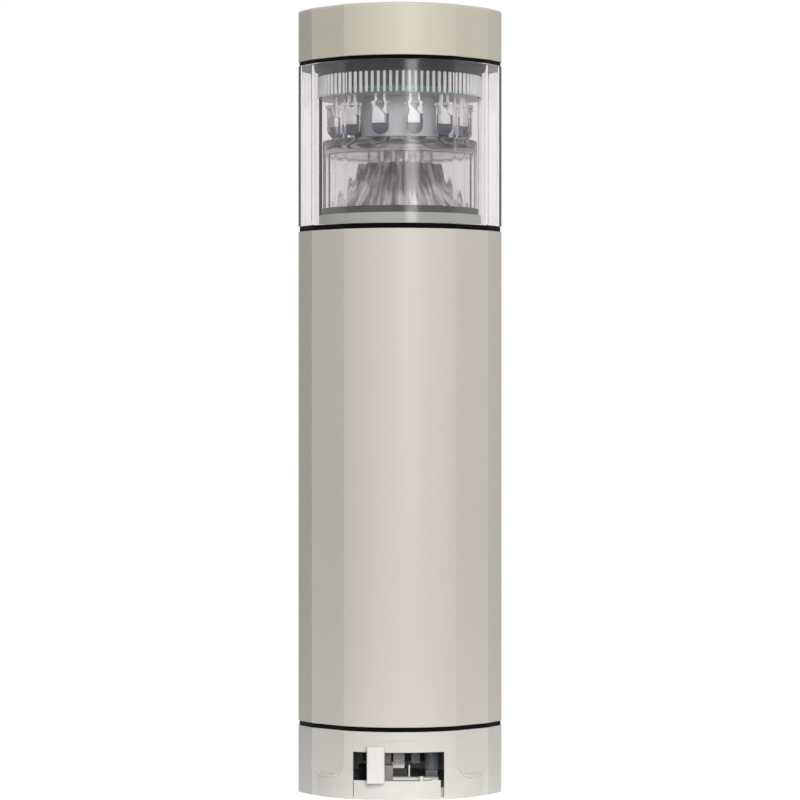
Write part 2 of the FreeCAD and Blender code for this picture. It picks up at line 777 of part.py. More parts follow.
def latch_knob():
    """The white knob in front of the window, with the stem that goes through it."""
    body = new_body("latch_knob")
    sketch = new_sketch(body, "face", total("outer_radius", "knob_gap"), "XZ_Plane")
    left = -size("window_left") + size("knob_from_left")
    foot = size("knob_foot")
    sides = (left, left + size("knob_wide"), foot, foot + size("knob_tall"))
    reach_left = f"{cell('window_left')} - {cell('knob_from_left')}"
    reach_right = f"{reach_left} - {cell('knob_wide')}"
    rectangle(sketch, reach_left, reach_right, cell("knob_foot"), total("knob_foot", "knob_tall"), sides)
    block = pad(body, sketch, cell("knob_thick"), "block")
    doc.recompute()
    front = -size("outer_radius") - size("knob_gap") - size("knob_thick")
    fillet(body, block, lambda spot: abs(spot.y - front) < 1e-6, cell("knob_edge"), "round")
    stem = new_sketch(body, "stem", total("outer_radius", "knob_gap"), "XZ_Plane")
    middle = left + size("knob_wide") / 2
    half = size("stem_wide") / 2
    low, high = size("stem_foot"), size("stem_foot") + size("stem_tall")
    stem_left = f"{reach_left} - ({cell('knob_wide')} - {cell('stem_wide')}) / 2"
    stem_right = f"{stem_left} - {cell('stem_wide')}"
    stem_sides = (middle - half, middle + half, low, high)
    rectangle(stem, stem_left, stem_right, cell("stem_foot"), total("stem_foot", "stem_tall"), stem_sides)
    rod = pad(body, stem, f"{total('outer_radius', 'knob_gap')} + {CARRIAGE_FRONT}", "stem")
    rod.Reversed = True
    return body


def foot_board():
    """The eight-sided board hung under the foot's deck, clear of the rods' heads."""
    reach = f"({BASE_BORE} - {cell('board_inset')})"
    return prism("foot_board", 8, reach, cell("board_thick"), ("0", "0", FOOT_BOARD))


def terminal_block():
    """The screw terminals, with a row of square wire entries facing the front."""
    foot = f"({FOOT_BOARD} - {cell('terminal_tall')})"
    low = (f"-{cell('terminal_long')} / 2", cell("terminal_back"), foot)
    block = box("terminal_case", low, (cell("terminal_long"), cell("terminal_deep"), cell("terminal_tall")))
    ways = int(size("terminal_ways"))
    hole = cell("terminal_hole")
    entries = []
    for way in range(ways):
        across = f"({way} + 0.5 - {ways} / 2) * {cell('terminal_long')} / {ways} - {hole} / 2"
        spot = (across, cell("terminal_back"), f"{foot} + ({cell('terminal_tall')} - {hole}) / 3")
        entries.append(box(f"terminal_entry_{way + 1}", spot, (hole, cell("entry_deep"), hole)))
    return cut("terminal_block", block, fuse("terminal_entries", entries))


def switch_block():
    """The small switch that looks out of the window above the latch."""
    foot = f"({FOOT_BOARD} - {cell('switch_tall')})"
    low = (f"-{cell('switch_left')}", f"-{less('outer_radius', 'switch_set_back')}", foot)
    return box("switch_block", low, (cell("switch_wide"), cell("switch_deep"), cell("switch_tall")))


def smoothing_can():
    """The upright capacitor behind the window's right end."""
    front = less("outer_radius", "can_set_back")
    spot = (cell("can_right"), f"-{front}", f"{FOOT_BOARD} - {cell('can_tall')}")
    return cylinder("smoothing_can", cell("can_radius"), cell("can_tall"), spot)


# ---------------------------------------------------------------- inside the body

BULKHEAD_FOOT = f"({total(*BODY_TOP)} - {cell('bulkhead_plug')})"


def upper_bulkhead():
    """The bulkhead in the body's mouth; its collar stands up inside the lens."""
    body = new_body("upper_bulkhead")
    plug = new_sketch(body, "plug")
    column_section(plug, "ledge_wall", "fit")
    pad(body, plug, cell("bulkhead_plug"), "plug_pad")
    collar = new_sketch(body, "collar", cell("bulkhead_plug"))
    circle(collar, COLLAR_RADIUS)
    pad(body, collar, cell("collar_tall"), "collar_pad")
    bowl = new_sketch(body, "bowl", cell("bulkhead_floor"))
    bowl_now = CORE_RADIUS_NOW - level("collar_gap", "collar_wall")
    polygon(bowl, 24, f"({COLLAR_RADIUS} - {cell('collar_wall')})", bowl_now)
    pocket(body, bowl, total("bulkhead_plug", "collar_tall"), "bowl", True)
    wires = new_sketch(body, "wires")
    polygon(wires, 12, cell("wire_hole"), size("wire_hole"))
    pocket(body, wires, cell("bulkhead_plug"), "wires", True)
    rod_holes(body, "0", cell("bulkhead_plug"))
    lift(body, BULKHEAD_FOOT)
    return body


def tie_rods():
    """Three long screws that pull foot, body and bulkhead together."""
    body = new_body("tie_rods")
    spot = Vector(0, width("outer_radius", "rod_inset"))
    rise = f"({BULKHEAD_FOOT} + {cell('bulkhead_floor')} - {DECK_UNDERSIDE})"
    shank = new_sketch(body, "shank")
    polygon(shank, 8, cell("rod_radius"), size("rod_radius"), None, ROD_CIRCLE, spot)
    rod = pad(body, shank, f"{rise} + {total('nut_tall', 'rod_radius')}", "shank_pad")
    top = new_sketch(body, "nut", rise)
    polygon(top, 6, cell("rod_head"), size("rod_head"), None, ROD_CIRCLE, spot)
    nut = pad(body, top, cell("nut_tall"), "nut_pad")
    under = new_sketch(body, "head", f"-{cell('rod_head_tall')}")
    polygon(under, 6, cell("rod_head"), size("rod_head"), None, ROD_CIRCLE, spot)
    head = pad(body, under, cell("rod_head_tall"), "head_pad")
    pattern = polar(body, rod, "3")
    pattern.Originals = [rod, nut, head]
    lift(body, DECK_UNDERSIDE)
    return body


DRIVER_TALL = f"({BULKHEAD_FOOT} - {cell('base_tall')})"


def driver_board():
    """The upright board between the foot's deck and the bulkhead."""
    low = (f"-{cell('driver_wide')} / 2", cell("driver_back"), cell("base_tall"))
    return box("driver_board", low, (cell("driver_wide"), cell("board_thick"), DRIVER_TALL))


def driver_coils():
    """Three round parts standing forward on the driver board."""
    coils = []
    for spot in range(3):
        up = f"{cell('base_tall')} + {DRIVER_TALL} * {spot + 1} / 4"
        foot = ("0", f"{cell('driver_back')} - {cell('coil_tall')}", up)
        coils.append(lying(prism(f"driver_coil_{spot + 1}", 12, cell("coil_radius"), cell("coil_tall"), foot)))
    return fuse("driver_coils", coils)


# ---------------------------------------------------------------- the lamp section

def optic_cup():
    """The clear cup: a thick plate dimpled under each lamp, on a thin round skirt."""
    foot = ("0", "0", total(*CUP_FOOT))
    block = cylinder("cup_block", CUP_RADIUS, total("cup_skirt", "cup_plate"), foot)
    hollow = cylinder("cup_hollow", f"({CUP_RADIUS} - {cell('cup_wall')})", cell("cup_skirt"), foot)
    top = size("dimple_deep")
    over = top + size("fit")
    spread = size("dimple_radius") + (size("dimple_radius") - size("dimple_floor")) * size("fit") / top
    bowl = stacked([ring(8, size("dimple_floor"), 0.0), ring(8, spread, over)])
    dimples = shaped("cup_dimples", copies_at_lamps(bowl, LAMP_CIRCLE_NOW))
    lift(dimples, f"{total(*CUP_FOOT)} + {total('cup_skirt', 'cup_plate')} - {cell('dimple_deep')}")
    return cut("optic_cup", cut("cup_shell", block, hollow), dimples)


def turn_to_lamps(body, height):
    """Turns a body's pattern to the lamps' angle and lifts it."""
    body.Placement = Placement(Vector(), Rotation(Vector(0, 0, 1), size("lamp_turn")))
    body.setExpression("Placement.Rotation.Angle", f"{cell('lamp_turn')} * 1 deg")
    lift(body, height)


def cup_heel():
    """The dark disc under the cup, resting on the bulkhead's collar."""
    return prism("cup_heel", 48, HEEL_RADIUS, cell("heel_thick"), ("0", "0", total(*HEEL_FOOT)))


def star_reflector():
    """The folded silver cone that throws the lamps' light out sideways."""
    ridges = int(size("cone_ridges"))
    half_turn = math.pi / ridges
    rings = []
    for share, height in ((1.0, 0.0), (size("cone_top") / CONE_FOOT_NOW, size("cone_tall"))):
        tip = CONE_FOOT_NOW * share
        root = (CONE_FOOT_NOW - size("cone_fold")) * share / math.cos(half_turn)
        corners = []
        for spot in range(2 * ridges):
            reach, angle = (tip if spot % 2 == 0 else root), spot * half_turn
            corners.append(Vector(reach * math.cos(angle), reach * math.sin(angle), height))
        rings.append(corners)
    star = shaped("star_cone", stacked(rings))
    lift(star, total(*CUP_FOOT))
    reach = less("cone_top", "cone_fold", "peg_radius")
    height = f"({total(*CUP_FOOT)} + {cell('cone_tall')})"
    tall = less("cup_skirt", "cone_tall")
    pegs = around("star_peg", cell("peg_radius"), tall, reach, height, ridges, 0, 4)
    return fuse("star_reflector", [star] + pegs)


def led_lamps():
    """The ring of round-nosed lamps, pointing down into the cup."""
    shoulder = -level("flange_thick", "lamp_straight")
    profile = [
        (size("tip_radius"), shoulder - size("tip_drop")),
        (size("nose_radius"), shoulder - size("nose_drop")),
        (size("lamp_radius"), shoulder),
        (size("lamp_radius"), -size("flange_thick")),
        (size("lamp_flange"), -size("flange_thick")),
        (size("lamp_flange"), 0.0),
    ]
    lamp = stacked([ring(8, radius, height) for radius, height in profile])
    lamps = shaped("led_lamps", copies_at_lamps(lamp, LAMP_CIRCLE_NOW))
    lift(lamps, f"{LAMP_BOARD_FOOT} - {cell('lead_long')}")
    return lamps


def led_leads():
    """The lamps' two square leads each, up to the board."""
    body = new_body("led_leads")
    sketch = new_sketch(body, "section")
    reach, apart, thick = LAMP_CIRCLE_NOW, size("lead_apart") / 2, size("lead_thick") / 2
    inner = f"{LAMP_CIRCLE} - {cell('lead_thick')} / 2"
    outer = f"{LAMP_CIRCLE} + {cell('lead_thick')} / 2"
    near = f"({cell('lead_apart')} - {cell('lead_thick')}) / 2"
    far = f"({cell('lead_apart')} + {cell('lead_thick')}) / 2"
    for side in (-1, 1):
        low, high = (far, near) if side < 0 else (near, far)
        sides = (reach - thick, reach + thick, side * apart - thick, side * apart + thick)
        rectangle(sketch, inner, outer, low, high, sides)
    leads = pad(body, sketch, cell("lead_long"))
    polar(body, leads, cell("lamp_count"))
    turn_to_lamps(body, f"{LAMP_BOARD_FOOT} - {cell('lead_long')}")
    return body


def led_board():
    """The green round board that the lamps hang from."""
    reach = f"({RIB_BORE} - {cell('fit')})"
    return prism("led_board", 48, reach, cell("board_thick"), ("0", "0", LAMP_BOARD_FOOT))


def rib_ring():
    """The clear ribbed ring that stands round the board, under the carrier."""
    body = new_body("rib_ring")
    sketch = new_sketch(body, "root")
    circle(sketch, RIB_ROOT)
    circle(sketch, RIB_BORE)
    pad(body, sketch, cell("rib_tall"), "root_pad")
    rib = new_sketch(body, "rib")
    half = size("rib_wide") / 2
    tip = CORE_RADIUS_NOW - size("rib_gap")
    inner = tip - size("rib_proud") - size("rib_wall") / 2
    middle = f"({RIB_ROOT} - {cell('rib_wall')} / 2)"
    half_cell = f"{cell('rib_wide')} / 2"
    rectangle(rib, middle, RIB_RADIUS, half_cell, half_cell, (inner, tip, -half, half))
    one = pad(body, rib, cell("rib_tall"), "rib_pad")
    doc.recompute()
    polar(body, one, cell("rib_count"), "ribs")
    lift(body, LAMP_BOARD_FOOT)
    return body


def spacer_ring():
    """The white ring that holds the board off the carrier."""
    foot = ("0", "0", f"{LAMP_BOARD_FOOT} + {cell('board_thick')}")
    tall = less("rib_tall", "board_thick")
    outer = prism("spacer_rim", 24, f"({RIB_BORE} - {cell('spacer_gap')})", tall, foot)
    bore = prism("spacer_bore", 24, f"({RIB_BORE} - {total('spacer_gap', 'spacer_wall')})", tall, foot)
    return cut("spacer_ring", outer, bore)


def lamp_carrier():
    """The dark carrier under the cap: a spigot in the lens, a flange on the seal."""
    body = new_body("lamp_carrier")
    spigot = new_sketch(body, "spigot")
    circle(spigot, f"{SEAL_BORE} - {cell('fit')}")
    drop = total("carrier_drop", "cap_seal")
    pad(body, spigot, drop, "spigot_pad")
    flange = new_sketch(body, "flange", drop)
    column_section(flange, "cap_wall", "fit")
    pad(body, flange, cell("carrier_flange"), "flange_pad")
    lift(body, CARRIER_FOOT)
    return body


def lamp_wires():
    """The two wires that climb beside the cup from the collar to the ribbed ring."""
    tall = f"{LAMP_BOARD_FOOT} - {total(*HEEL_FOOT)}"
    reach = f"({HEEL_RADIUS} + {total('wire_gap', 'wire_radius')})"
    wires = []
    for spot, angle in enumerate((191, 349), start=1):
        foot = (f"{reach} * cos({angle} deg)", f"{reach} * sin({angle} deg)", total(*HEEL_FOOT))
        wires.append(prism(f"lamp_wire_{spot}", 6, cell("wire_radius"), tall, foot))
    return fuse("lamp_wires", wires)


# ---------------------------------------------------------------- the whole tower

PIECES = [
    base_housing(),
    mount_plate(),
    latch_pin(),
    latch_carriage(),
    latch_knob(),
    foot_board(),
    terminal_block(),
    switch_block(),
    smoothing_can(),
    seal_ring("base_gasket", "base_seal", cell("base_tall"), bored=False),
    body_housing(),
    driver_board(),
    driver_coils(),
    tie_rods(),
    upper_bulkhead(),
    seal_ring("lens_gasket", "lens_seal", total(*BODY_TOP)),
    lens(),
    cup_heel(),
    star_reflector(),
    optic_cup(),
    led_lamps(),
    led_leads(),
    led_board(),
    rib_ring(),
    spacer_ring(),
    lamp_wires(),
    lamp_carrier(),
    seal_ring("cap_gasket", "cap_seal", total(*LENS_TOP)),
    top_cap(),
]


def check_document():
    """Stops before anything is written if an object or a shape is bad."""
    doc.recompute()
    for item in doc.Objects:
        if "Invalid" in item.State or "Error" in item.State:
            raise RuntimeError(f"{item.Label}: {item.State}")
    for piece in PIECES:
        if piece.Shape.isNull() or not piece.Shape.isValid() or piece.Shape.Volume <= 0:
            raise RuntimeError(f"{piece.Label} has no sound shape")


def write_parts():
    """Writes each piece, under its own name."""
    os.makedirs("parts", exist_ok=True)
    for piece in PIECES:
        piece.Shape.exportStep(f"parts/{piece.Label}.step")
        print(f"{piece.Label:16s} solids {len(piece.Shape.Solids):3d}  mm3 {piece.Shape.Volume:10.1f}")


check_document()
write_parts()
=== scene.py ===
import math

import bmesh
import bpy
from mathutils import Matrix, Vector


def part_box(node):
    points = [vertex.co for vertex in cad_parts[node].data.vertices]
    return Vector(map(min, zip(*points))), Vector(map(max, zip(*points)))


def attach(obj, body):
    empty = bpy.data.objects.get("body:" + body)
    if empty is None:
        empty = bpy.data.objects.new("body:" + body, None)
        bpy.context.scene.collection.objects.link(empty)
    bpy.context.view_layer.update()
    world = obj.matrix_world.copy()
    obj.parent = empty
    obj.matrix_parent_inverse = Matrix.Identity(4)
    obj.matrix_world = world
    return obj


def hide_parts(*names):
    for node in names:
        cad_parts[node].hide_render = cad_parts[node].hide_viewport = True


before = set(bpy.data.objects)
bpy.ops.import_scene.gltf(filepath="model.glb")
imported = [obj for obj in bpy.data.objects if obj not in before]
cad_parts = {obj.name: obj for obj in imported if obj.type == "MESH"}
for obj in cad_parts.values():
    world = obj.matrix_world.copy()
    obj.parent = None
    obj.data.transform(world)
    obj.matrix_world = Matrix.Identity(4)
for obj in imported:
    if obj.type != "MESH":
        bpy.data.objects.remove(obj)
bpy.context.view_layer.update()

bl_info = {
    "name": "Signal Tower",
    "version": (1, 0, 0),
    "blender": (4, 5, 0),
    "location": "3D View > Sidebar > Signal Tower",
    "description": "Dresses a machine's signal tower with one clear lamp section",
    "category": "Object",
}

MM = 0.001

# where the frame's nodes stand: each box is a low and a high corner
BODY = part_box("body_housing")
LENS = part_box("lens")
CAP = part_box("top_cap")
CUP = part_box("optic_cup")
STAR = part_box("star_reflector")
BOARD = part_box("led_board")
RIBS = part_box("rib_ring")
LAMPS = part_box("led_lamps")

# the column's section, in degrees round from the front: where the bow ends, where the
# slanted and the side flat meet a little outside the radius, and where the side flat ends
OUTER = BODY[1].x
BOW_TURN = 33.03
SHOULDER_TURN = 58.1
SHOULDER_PROUD = 0.45 * MM
SIDE_TURN = 74.0

# walls and plates: the long body's wall, the cap's wall and top, and the thick plate
# at the cup's top, in which the dimples lie
BODY_WALL = 3.8 * MM
CAP_WALL = 3.5 * MM
CAP_PLATE = 2.5 * MM
CUP_PLATE = 4.1 * MM

# a turned disc keeps a hole as fine as a hair on its axis; which of a plain profile's
# four edges stay crisp
HAIR = 0.05 * MM
DISC_EDGES = (1, 2)
RING_EDGES = (0, 1, 2, 3)


# ---------------------------------------------------------------- sizes and colours

def length(name, text, millimetres):
    """A length that a user may change, kept in metres."""
    return bpy.props.FloatProperty(name=name, description=text, default=millimetres * MM,
                                   min=0.0, precision=5, subtype="DISTANCE", unit="LENGTH")


def tint(name, text, value):
    """A colour that a user may change, given as an sRGB hex value."""
    return bpy.props.FloatVectorProperty(name=name, description=text, default=linear(value)[:3],
                                         size=3, min=0.0, max=1.0, subtype="COLOR")


def linear(value):
    """An sRGB hex value as a linear colour with full alpha."""
    shares = [int(value[spot:spot + 2], 16) / 255 for spot in (1, 3, 5)]
    return tuple(s / 12.92 if s <= 0.04045 else ((s + 0.055) / 1.055) ** 2.4 for s in shares) + (1.0,)


class TowerSizes(bpy.types.PropertyGroup):
    """The sizes that the dressed pieces add to the frame's own."""
    rim: length("Rim", "Rounding along a housing's ends", 0.25)
    cap_round: length("Cap rounding", "Rounding of the cap's top edge", 1.0)
    seal_inset: length("Seal inset", "How far a seal lies inside the housings", 0.35)
    lens_wall: length("Lens wall", "Thickness of the clear wall", 1.6)
    board_drop: length("Board drop", "How far the lamp board's skin lies under the frame's board", 0.9)
    lamp_circle: length("Lamp circle", "Radius of the circle of lamps", 19.0)
    lamp_radius: length("Lamp radius", "Radius of one lamp's barrel", 2.5)
    dimple_radius: length("Dimple radius", "Radius of a dimple in the cup", 3.3)
    dimple_deep: length("Dimple depth", "Depth of a dimple in the cup", 2.2)
    lamp_count: bpy.props.IntProperty(name="Lamps", description="Lamps in the ring", default=12, min=1)
    lamp_turn: bpy.props.FloatProperty(name="Lamp turn", description="Angle of the first lamp",
                                       default=math.radians(12.6), subtype="ANGLE", unit="ROTATION")
    folds: bpy.props.IntProperty(name="Folds", description="Folds of the silvered cone", default=32, min=3)
    pleats: bpy.props.IntProperty(name="Pleats", description="Pleats inside the cup's skirt",
                                  default=36, min=6, max=48)
    ribs: bpy.props.IntProperty(name="Ribs", description="Ribs of the clear ring", default=84, min=3)


class TowerColours(bpy.types.PropertyGroup):
    """The colours of the tower's finishes."""
    housing: tint("Housing", "Warm light grey of the long body", "#D9D4CA")
    cap: tint("Cap", "The cap's grey, a little yellowed", "#D6D2C0")
    foot: tint("Foot", "The foot's grey, a little paler", "#DBD9D3")
    seal: tint("Seal", "Black of the rubber seals", "#08080A")
    latch: tint("Latch", "Cool white of the latch's knob", "#E9E6E4")
    lens: tint("Lens", "Tint of the clear lens", "#F1EEF0")
    board: tint("Board", "Green of the lamp board", "#1B6E5E")


# ---------------------------------------------------------------- materials

def add(tree, kind, settings=None, inputs=None):
    """Adds one node with its settings and links, a colour ramp with its stops.

    An input is a value, another node's output, or a node, which gives its first output.
    """
    item = tree.nodes.new(kind)
    for name, value in (settings or {}).items():
        if name == "stops":
            for stop, (place, colour) in zip(item.color_ramp.elements, value):
                stop.position = place
                stop.color = colour
        else:
            setattr(item, name, value)
    for name, source in (inputs or {}).items():
        if isinstance(source, bpy.types.Node):
            source = source.outputs[0]
        if isinstance(source, bpy.types.NodeSocket):
            tree.links.new(source, item.inputs[name])
        else:
            item.inputs[name].default_value = source
    return item


def bare_tree(holder):
    """The node tree of a material, a lamp or a world, switched on and emptied."""
    holder.use_nodes = True
    holder.node_tree.nodes.clear()
    return holder.node_tree


def finish(name, first, second, patch, grain, depth, rough, shader, spread):
    """A surface with a slow change between two tones and a fine raised grain.

    patch and grain are the sizes in millimetres of the slow and the fine pattern, and
    depth is the grain's height; in a clear piece the grain is the wave of its wall.
    rough is the mean roughness and spread how far the slow pattern shifts it.
    """
    tree = bare_tree(bpy.data.materials.new(name))
    where = add(tree, "ShaderNodeTexCoord").outputs["Object"]
    slow = add(tree, "ShaderNodeTexNoise", inputs={"Scale": 1 / (patch * MM), "Detail": 3.0, "Vector": where})
    fine = add(tree, "ShaderNodeTexNoise", inputs={"Scale": 1 / (grain * MM), "Detail": 2.0, "Vector": where})
    blend = add(tree, "ShaderNodeValToRGB", {"stops": ((0.35, first), (0.65, second))}, {"Fac": slow})
    raised = add(tree, "ShaderNodeBump", inputs={"Strength": 1.0, "Distance": depth * MM, "Height": fine})
    inputs = {"Base Color": blend, "Normal": raised, "Roughness": rough, **shader}
    if spread:
        inputs["Roughness"] = add(tree, "ShaderNodeMapRange", inputs={"Value": slow, "To Min": rough - spread,
                                                                      "To Max": rough + spread})
    surface = add(tree, "ShaderNodeBsdfPrincipled", inputs=inputs)
    add(tree, "ShaderNodeOutputMaterial", inputs={"Surface": surface})


def multiply_tone(tree, tone):
    """Multiplies a finish's base colour by another node's output."""
    surface = next(node for node in tree.nodes if node.type == "BSDF_PRINCIPLED")
    plain = surface.inputs["Base Color"].links[0].from_socket
    blend = add(tree, "ShaderNodeMix", {"data_type": "RGBA", "blend_type": "MULTIPLY"},
                {0: 1.0, 6: plain, 7: tone})
    tree.links.new(blend.outputs[2], surface.inputs["Base Color"])


def two_tier(name, low_z, high_z, under, over):
    """Tints a finish from one colour below a height to another above it."""
    tree = bpy.data.materials[name].node_tree
    where = add(tree, "ShaderNodeTexCoord").outputs["Object"]
    height = add(tree, "ShaderNodeSeparateXYZ", inputs={"Vector": where}).outputs["Z"]
    share = add(tree, "ShaderNodeMapRange", inputs={"Value": height, "From Min": low_z, "From Max": high_z})
    stops = ((0.0, linear(under)), (1.0, linear(over)))
    multiply_tone(tree, add(tree, "ShaderNodeValToRGB", {"stops": stops}, {"Fac": share}))


def painted_streaks(name, count, fall, dark):
    """Darkens a finish in streaks that run down a cone's slopes, a painted reflection.

    The streaks are noise drawn over the turn and the height: count is how many lie
    in a radian, fall how often one changes in a metre, dark the darkest one's tone.
    """
    tree = bpy.data.materials[name].node_tree
    where = add(tree, "ShaderNodeTexCoord").outputs["Object"]
    way = add(tree, "ShaderNodeSeparateXYZ", inputs={"Vector": where}).outputs
    turn = add(tree, "ShaderNodeMath", {"operation": "ARCTAN2"}, {0: way["Y"], 1: way["X"]})
    across = add(tree, "ShaderNodeMath", {"operation": "MULTIPLY"}, {0: turn, 1: count})
    down = add(tree, "ShaderNodeMath", {"operation": "MULTIPLY"}, {0: way["Z"], 1: fall})
    spot = add(tree, "ShaderNodeCombineXYZ", inputs={"X": across, "Y": down})
    draw = add(tree, "ShaderNodeTexNoise", inputs={"Scale": 1.0, "Detail": 2.5, "Vector": spot})
    multiply_tone(tree, add(tree, "ShaderNodeMapRange", inputs={
        "Value": draw, "From Min": 0.42, "From Max": 0.57, "To Min": dark, "To Max": 1.0}))


def let_light_in(name):
    """Lets the lamps' light straight through a clear piece, as a thin wall does."""
    tree = bpy.data.materials[name].node_tree
    output = next(node for node in tree.nodes if node.type == "OUTPUT_MATERIAL")
    surface = output.inputs["Surface"].links[0].from_socket
    shadow = add(tree, "ShaderNodeLightPath").outputs["Is Shadow Ray"]
    clear = add(tree, "ShaderNodeBsdfTransparent")
    blend = add(tree, "ShaderNodeMixShader", inputs={0: shadow, 1: surface, 2: clear})
    tree.links.new(blend.outputs[0], output.inputs["Surface"])


def tones(colour, *factors):
    """The same colour at each factor, with full alpha."""
    return [tuple(min(1.0, part * factor) for part in colour) + (1.0,) for factor in factors]


def make_materials():
    """Makes every finish of the tower, named for what it is made of.
    """
    colours = bpy.context.scene.tower_colours
    plastic, clear = {"IOR": 1.53}, {"Transmission Weight": 1.0}
    acrylic = dict(clear, IOR=1.49)
    finishes = (
        # injection-moulded ABS from a spark-eroded tool: an even, barely glossy skin
        # whose fine grain softens every highlight. The grain of such a skin is under
        # 0.1 mm; here and below it is drawn at 0.3 to 0.8 mm, so that it shows
        ("abs_moulded_grey", *tones(colours.housing, 0.985, 1.0), 18.0, 0.45, 0.012, 0.32, plastic, 0.03),
        ("abs_yellowed_grey", *tones(colours.cap, 0.985, 1.0), 18.0, 0.45, 0.012, 0.32, plastic, 0.03),
        ("abs_moulded_foot", *tones(colours.foot, 0.985, 1.0), 18.0, 0.45, 0.012, 0.32, plastic, 0.03),
        # the same plastic in white, pressed in a polished tool: smoother and cooler
        ("abs_polished_white", *tones(colours.latch, 0.98, 1.0), 6.0, 0.6, 0.004, 0.3, plastic, 0.02),
        # the mounting plate's moulding shows at the sill: pale, a little chalky
        ("abs_moulded_pale", "#D9D7D2", "#DEDCD7", 8.0, 0.5, 0.008, 0.45, plastic, 0.02),
        # EPDM rubber cut from sheet: near black, dull, with a slight bloom
        ("rubber_cut_black", *tones(colours.seal, 0.9, 1.25), 5.0, 0.3, 0.02, 0.7,
         {"IOR": 1.52, "Specular IOR Level": 0.12}, 0.05),
        # polycarbonate moulded clear, outside flats polished: crisp bright edges and
        # a faint wave in what is seen through it
        ("polycarbonate_clear", *tones(colours.lens, 0.995, 1.0), 14.0, 9.0, 0.006, 0.03,
         dict(clear, IOR=1.586), 0.0),
        # acrylic moulded clear: the ribbed ring's wall, bright at every edge
        ("acrylic_clear", "#F6F6F5", "#FCFCFB", 9.0, 4.0, 0.004, 0.04, acrylic, 0.0),
        # the cup's acrylic: its thick top plate is tinted grey, a painted shade that the thin skirt doesn't
        # get
        ("acrylic_thick", "#F4F3F2", "#FBFAF9", 9.0, 4.0, 0.006, 0.04, acrylic, 0.0),
        # the stem's acrylic, blasted to a frost: pale, soft and without a reflection
        ("acrylic_frosted", "#D6D7D9", "#E2E3E4", 6.0, 0.8, 0.01, 0.4,
         {"IOR": 1.49, "Transmission Weight": 0.35}, 0.04),
        # a slate-blue plate behind the lamp's frame: painted shade, which gives the lamp its dark lower end
        ("pad_enamel_slate", "#5C5F68", "#6A6D75", 2.0, 0.4, 0.004, 0.4, {"IOR": 1.5}, 0.04),
        # the ribs: the same acrylic made milky white, a painted highlight, so that each rib reads as a white
        # bar
        ("acrylic_milky", "#F4F5F4", "#FFFFFF", 5.0, 2.0, 0.003, 0.12,
         {"IOR": 1.49, "Transmission Weight": 0.45}, 0.0),
        # epoxy cast round the lamp's frame: clear, its lower end tinted a cool grey as painted shade
        ("epoxy_cast_clear", "#F0F1F3", "#F7F8FA", 4.0, 3.0, 0.003, 0.05, dict(clear, IOR=1.54), 0.0),
        # plastic metallised in vacuum: a soft mirror, with streaks of painted reflection
        ("plastic_silvered", "#F0EFEE", "#FDFCFB", 6.0, 2.5, 0.03, 0.17, {"Metallic": 1.0}, 0.05),
        # glass-epoxy board under green solder mask: half gloss, faint weave
        ("board_masked_green", *tones(colours.board, 0.85, 1.2), 3.0, 0.5, 0.01, 0.35, {"IOR": 1.55}, 0.04),
        # the lamp's frame, stamped and tinned: so pale and satin that it reads as white
        ("lead_tinned", "#EDECEA", "#FBFAF8", 1.5, 0.3, 0.004, 0.35, {"Metallic": 0.05}, 0.05),
        # white solder mask on the board's lamp side: even and half gloss
        ("board_masked_white", "#E0E2E0", "#E8EAE8", 4.0, 0.5, 0.006, 0.4, {"IOR": 1.55}, 0.03),
        # black nylon of the spacer and the carrier, moulded: what the ribs stand against
        ("nylon_black", "#141516", "#1C1D1E", 5.0, 0.5, 0.01, 0.5,
         {"IOR": 1.53, "Specular IOR Level": 0.3}, 0.04),
        # grey acetal of the slide, cut and deburred: waxy, even
        ("acetal_cut_grey", "#827F7B", "#8D8A86", 3.0, 0.4, 0.008, 0.4, {"IOR": 1.48}, 0.04),
        # zinc-plated steel of the tie rods: cool grey with a passivated cast
        ("steel_zinc_plated", "#A9ABAD", "#C2C3C1", 4.0, 0.4, 0.006, 0.33, {"Metallic": 1.0}, 0.06),
        # glass-filled nylon: dark grey-brown, matt, with flow marks
        ("nylon_filled_dark", "#3C3936", "#47433F", 7.0, 0.5, 0.015, 0.5, plastic, 0.05),
        # the socket's collar, moulded nylon: pale green-grey, semi-gloss
        ("nylon_pale_collar", "#A4A89E", "#AFB2A8", 9.0, 0.6, 0.006, 0.35, plastic, 0.03),
        # PVC insulation drawn over wire: white, with a soft gloss
        ("pvc_drawn_white", "#D8D8D6", "#E2E2E0", 3.0, 0.5, 0.004, 0.45, plastic, 0.04),
        # the capacitor's shrunk sleeve: blue-grey film, tight and glossy
        ("film_shrunk_grey", "#55595E", "#62666B", 4.0, 0.8, 0.006, 0.28, {"IOR": 1.5}, 0.03),
    )
    for name, *pair, patch, grain, depth, rough, shader, spread in finishes:
        first, second = (linear(colour) if isinstance(colour, str) else colour for colour in pair)
        finish(name, first, second, patch, grain, depth, rough, shader, spread)
    plate_foot = CUP[1].z - CUP_PLATE
    # the cup's top plate is tinted grey above its foot: painted shade
    two_tier("acrylic_thick", plate_foot - 0.9 * MM, plate_foot + 0.3 * MM, "#FFFFFF", "#AAAAA8")
    # the bulbs' lower ends are tinted cool grey: painted shade
    two_tier("epoxy_cast_clear", LAMPS[0].z + 1.5 * MM, LAMPS[0].z + 4.5 * MM, "#B9BCC8", "#FFFFFF")
    # the cone's dark streaks are painted reflection
    painted_streaks("plastic_silvered", count=15.0, fall=90.0, dark=0.4)
    for name in ("polycarbonate_clear", "acrylic_clear", "acrylic_thick", "epoxy_cast_clear"):
        let_light_in(name)


def dress(item, name):
    """Gives a piece one of the finishes."""
    item.data.materials.clear()
    item.data.materials.append(bpy.data.materials[name])


def dress_frame(covers):
    """Gives each frame node that is carried over its finish."""
    for node, finish_name in covers.items():
        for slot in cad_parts[node].material_slots:
            slot.material = bpy.data.materials[finish_name]


# ---------------------------------------------------------------- mesh helpers

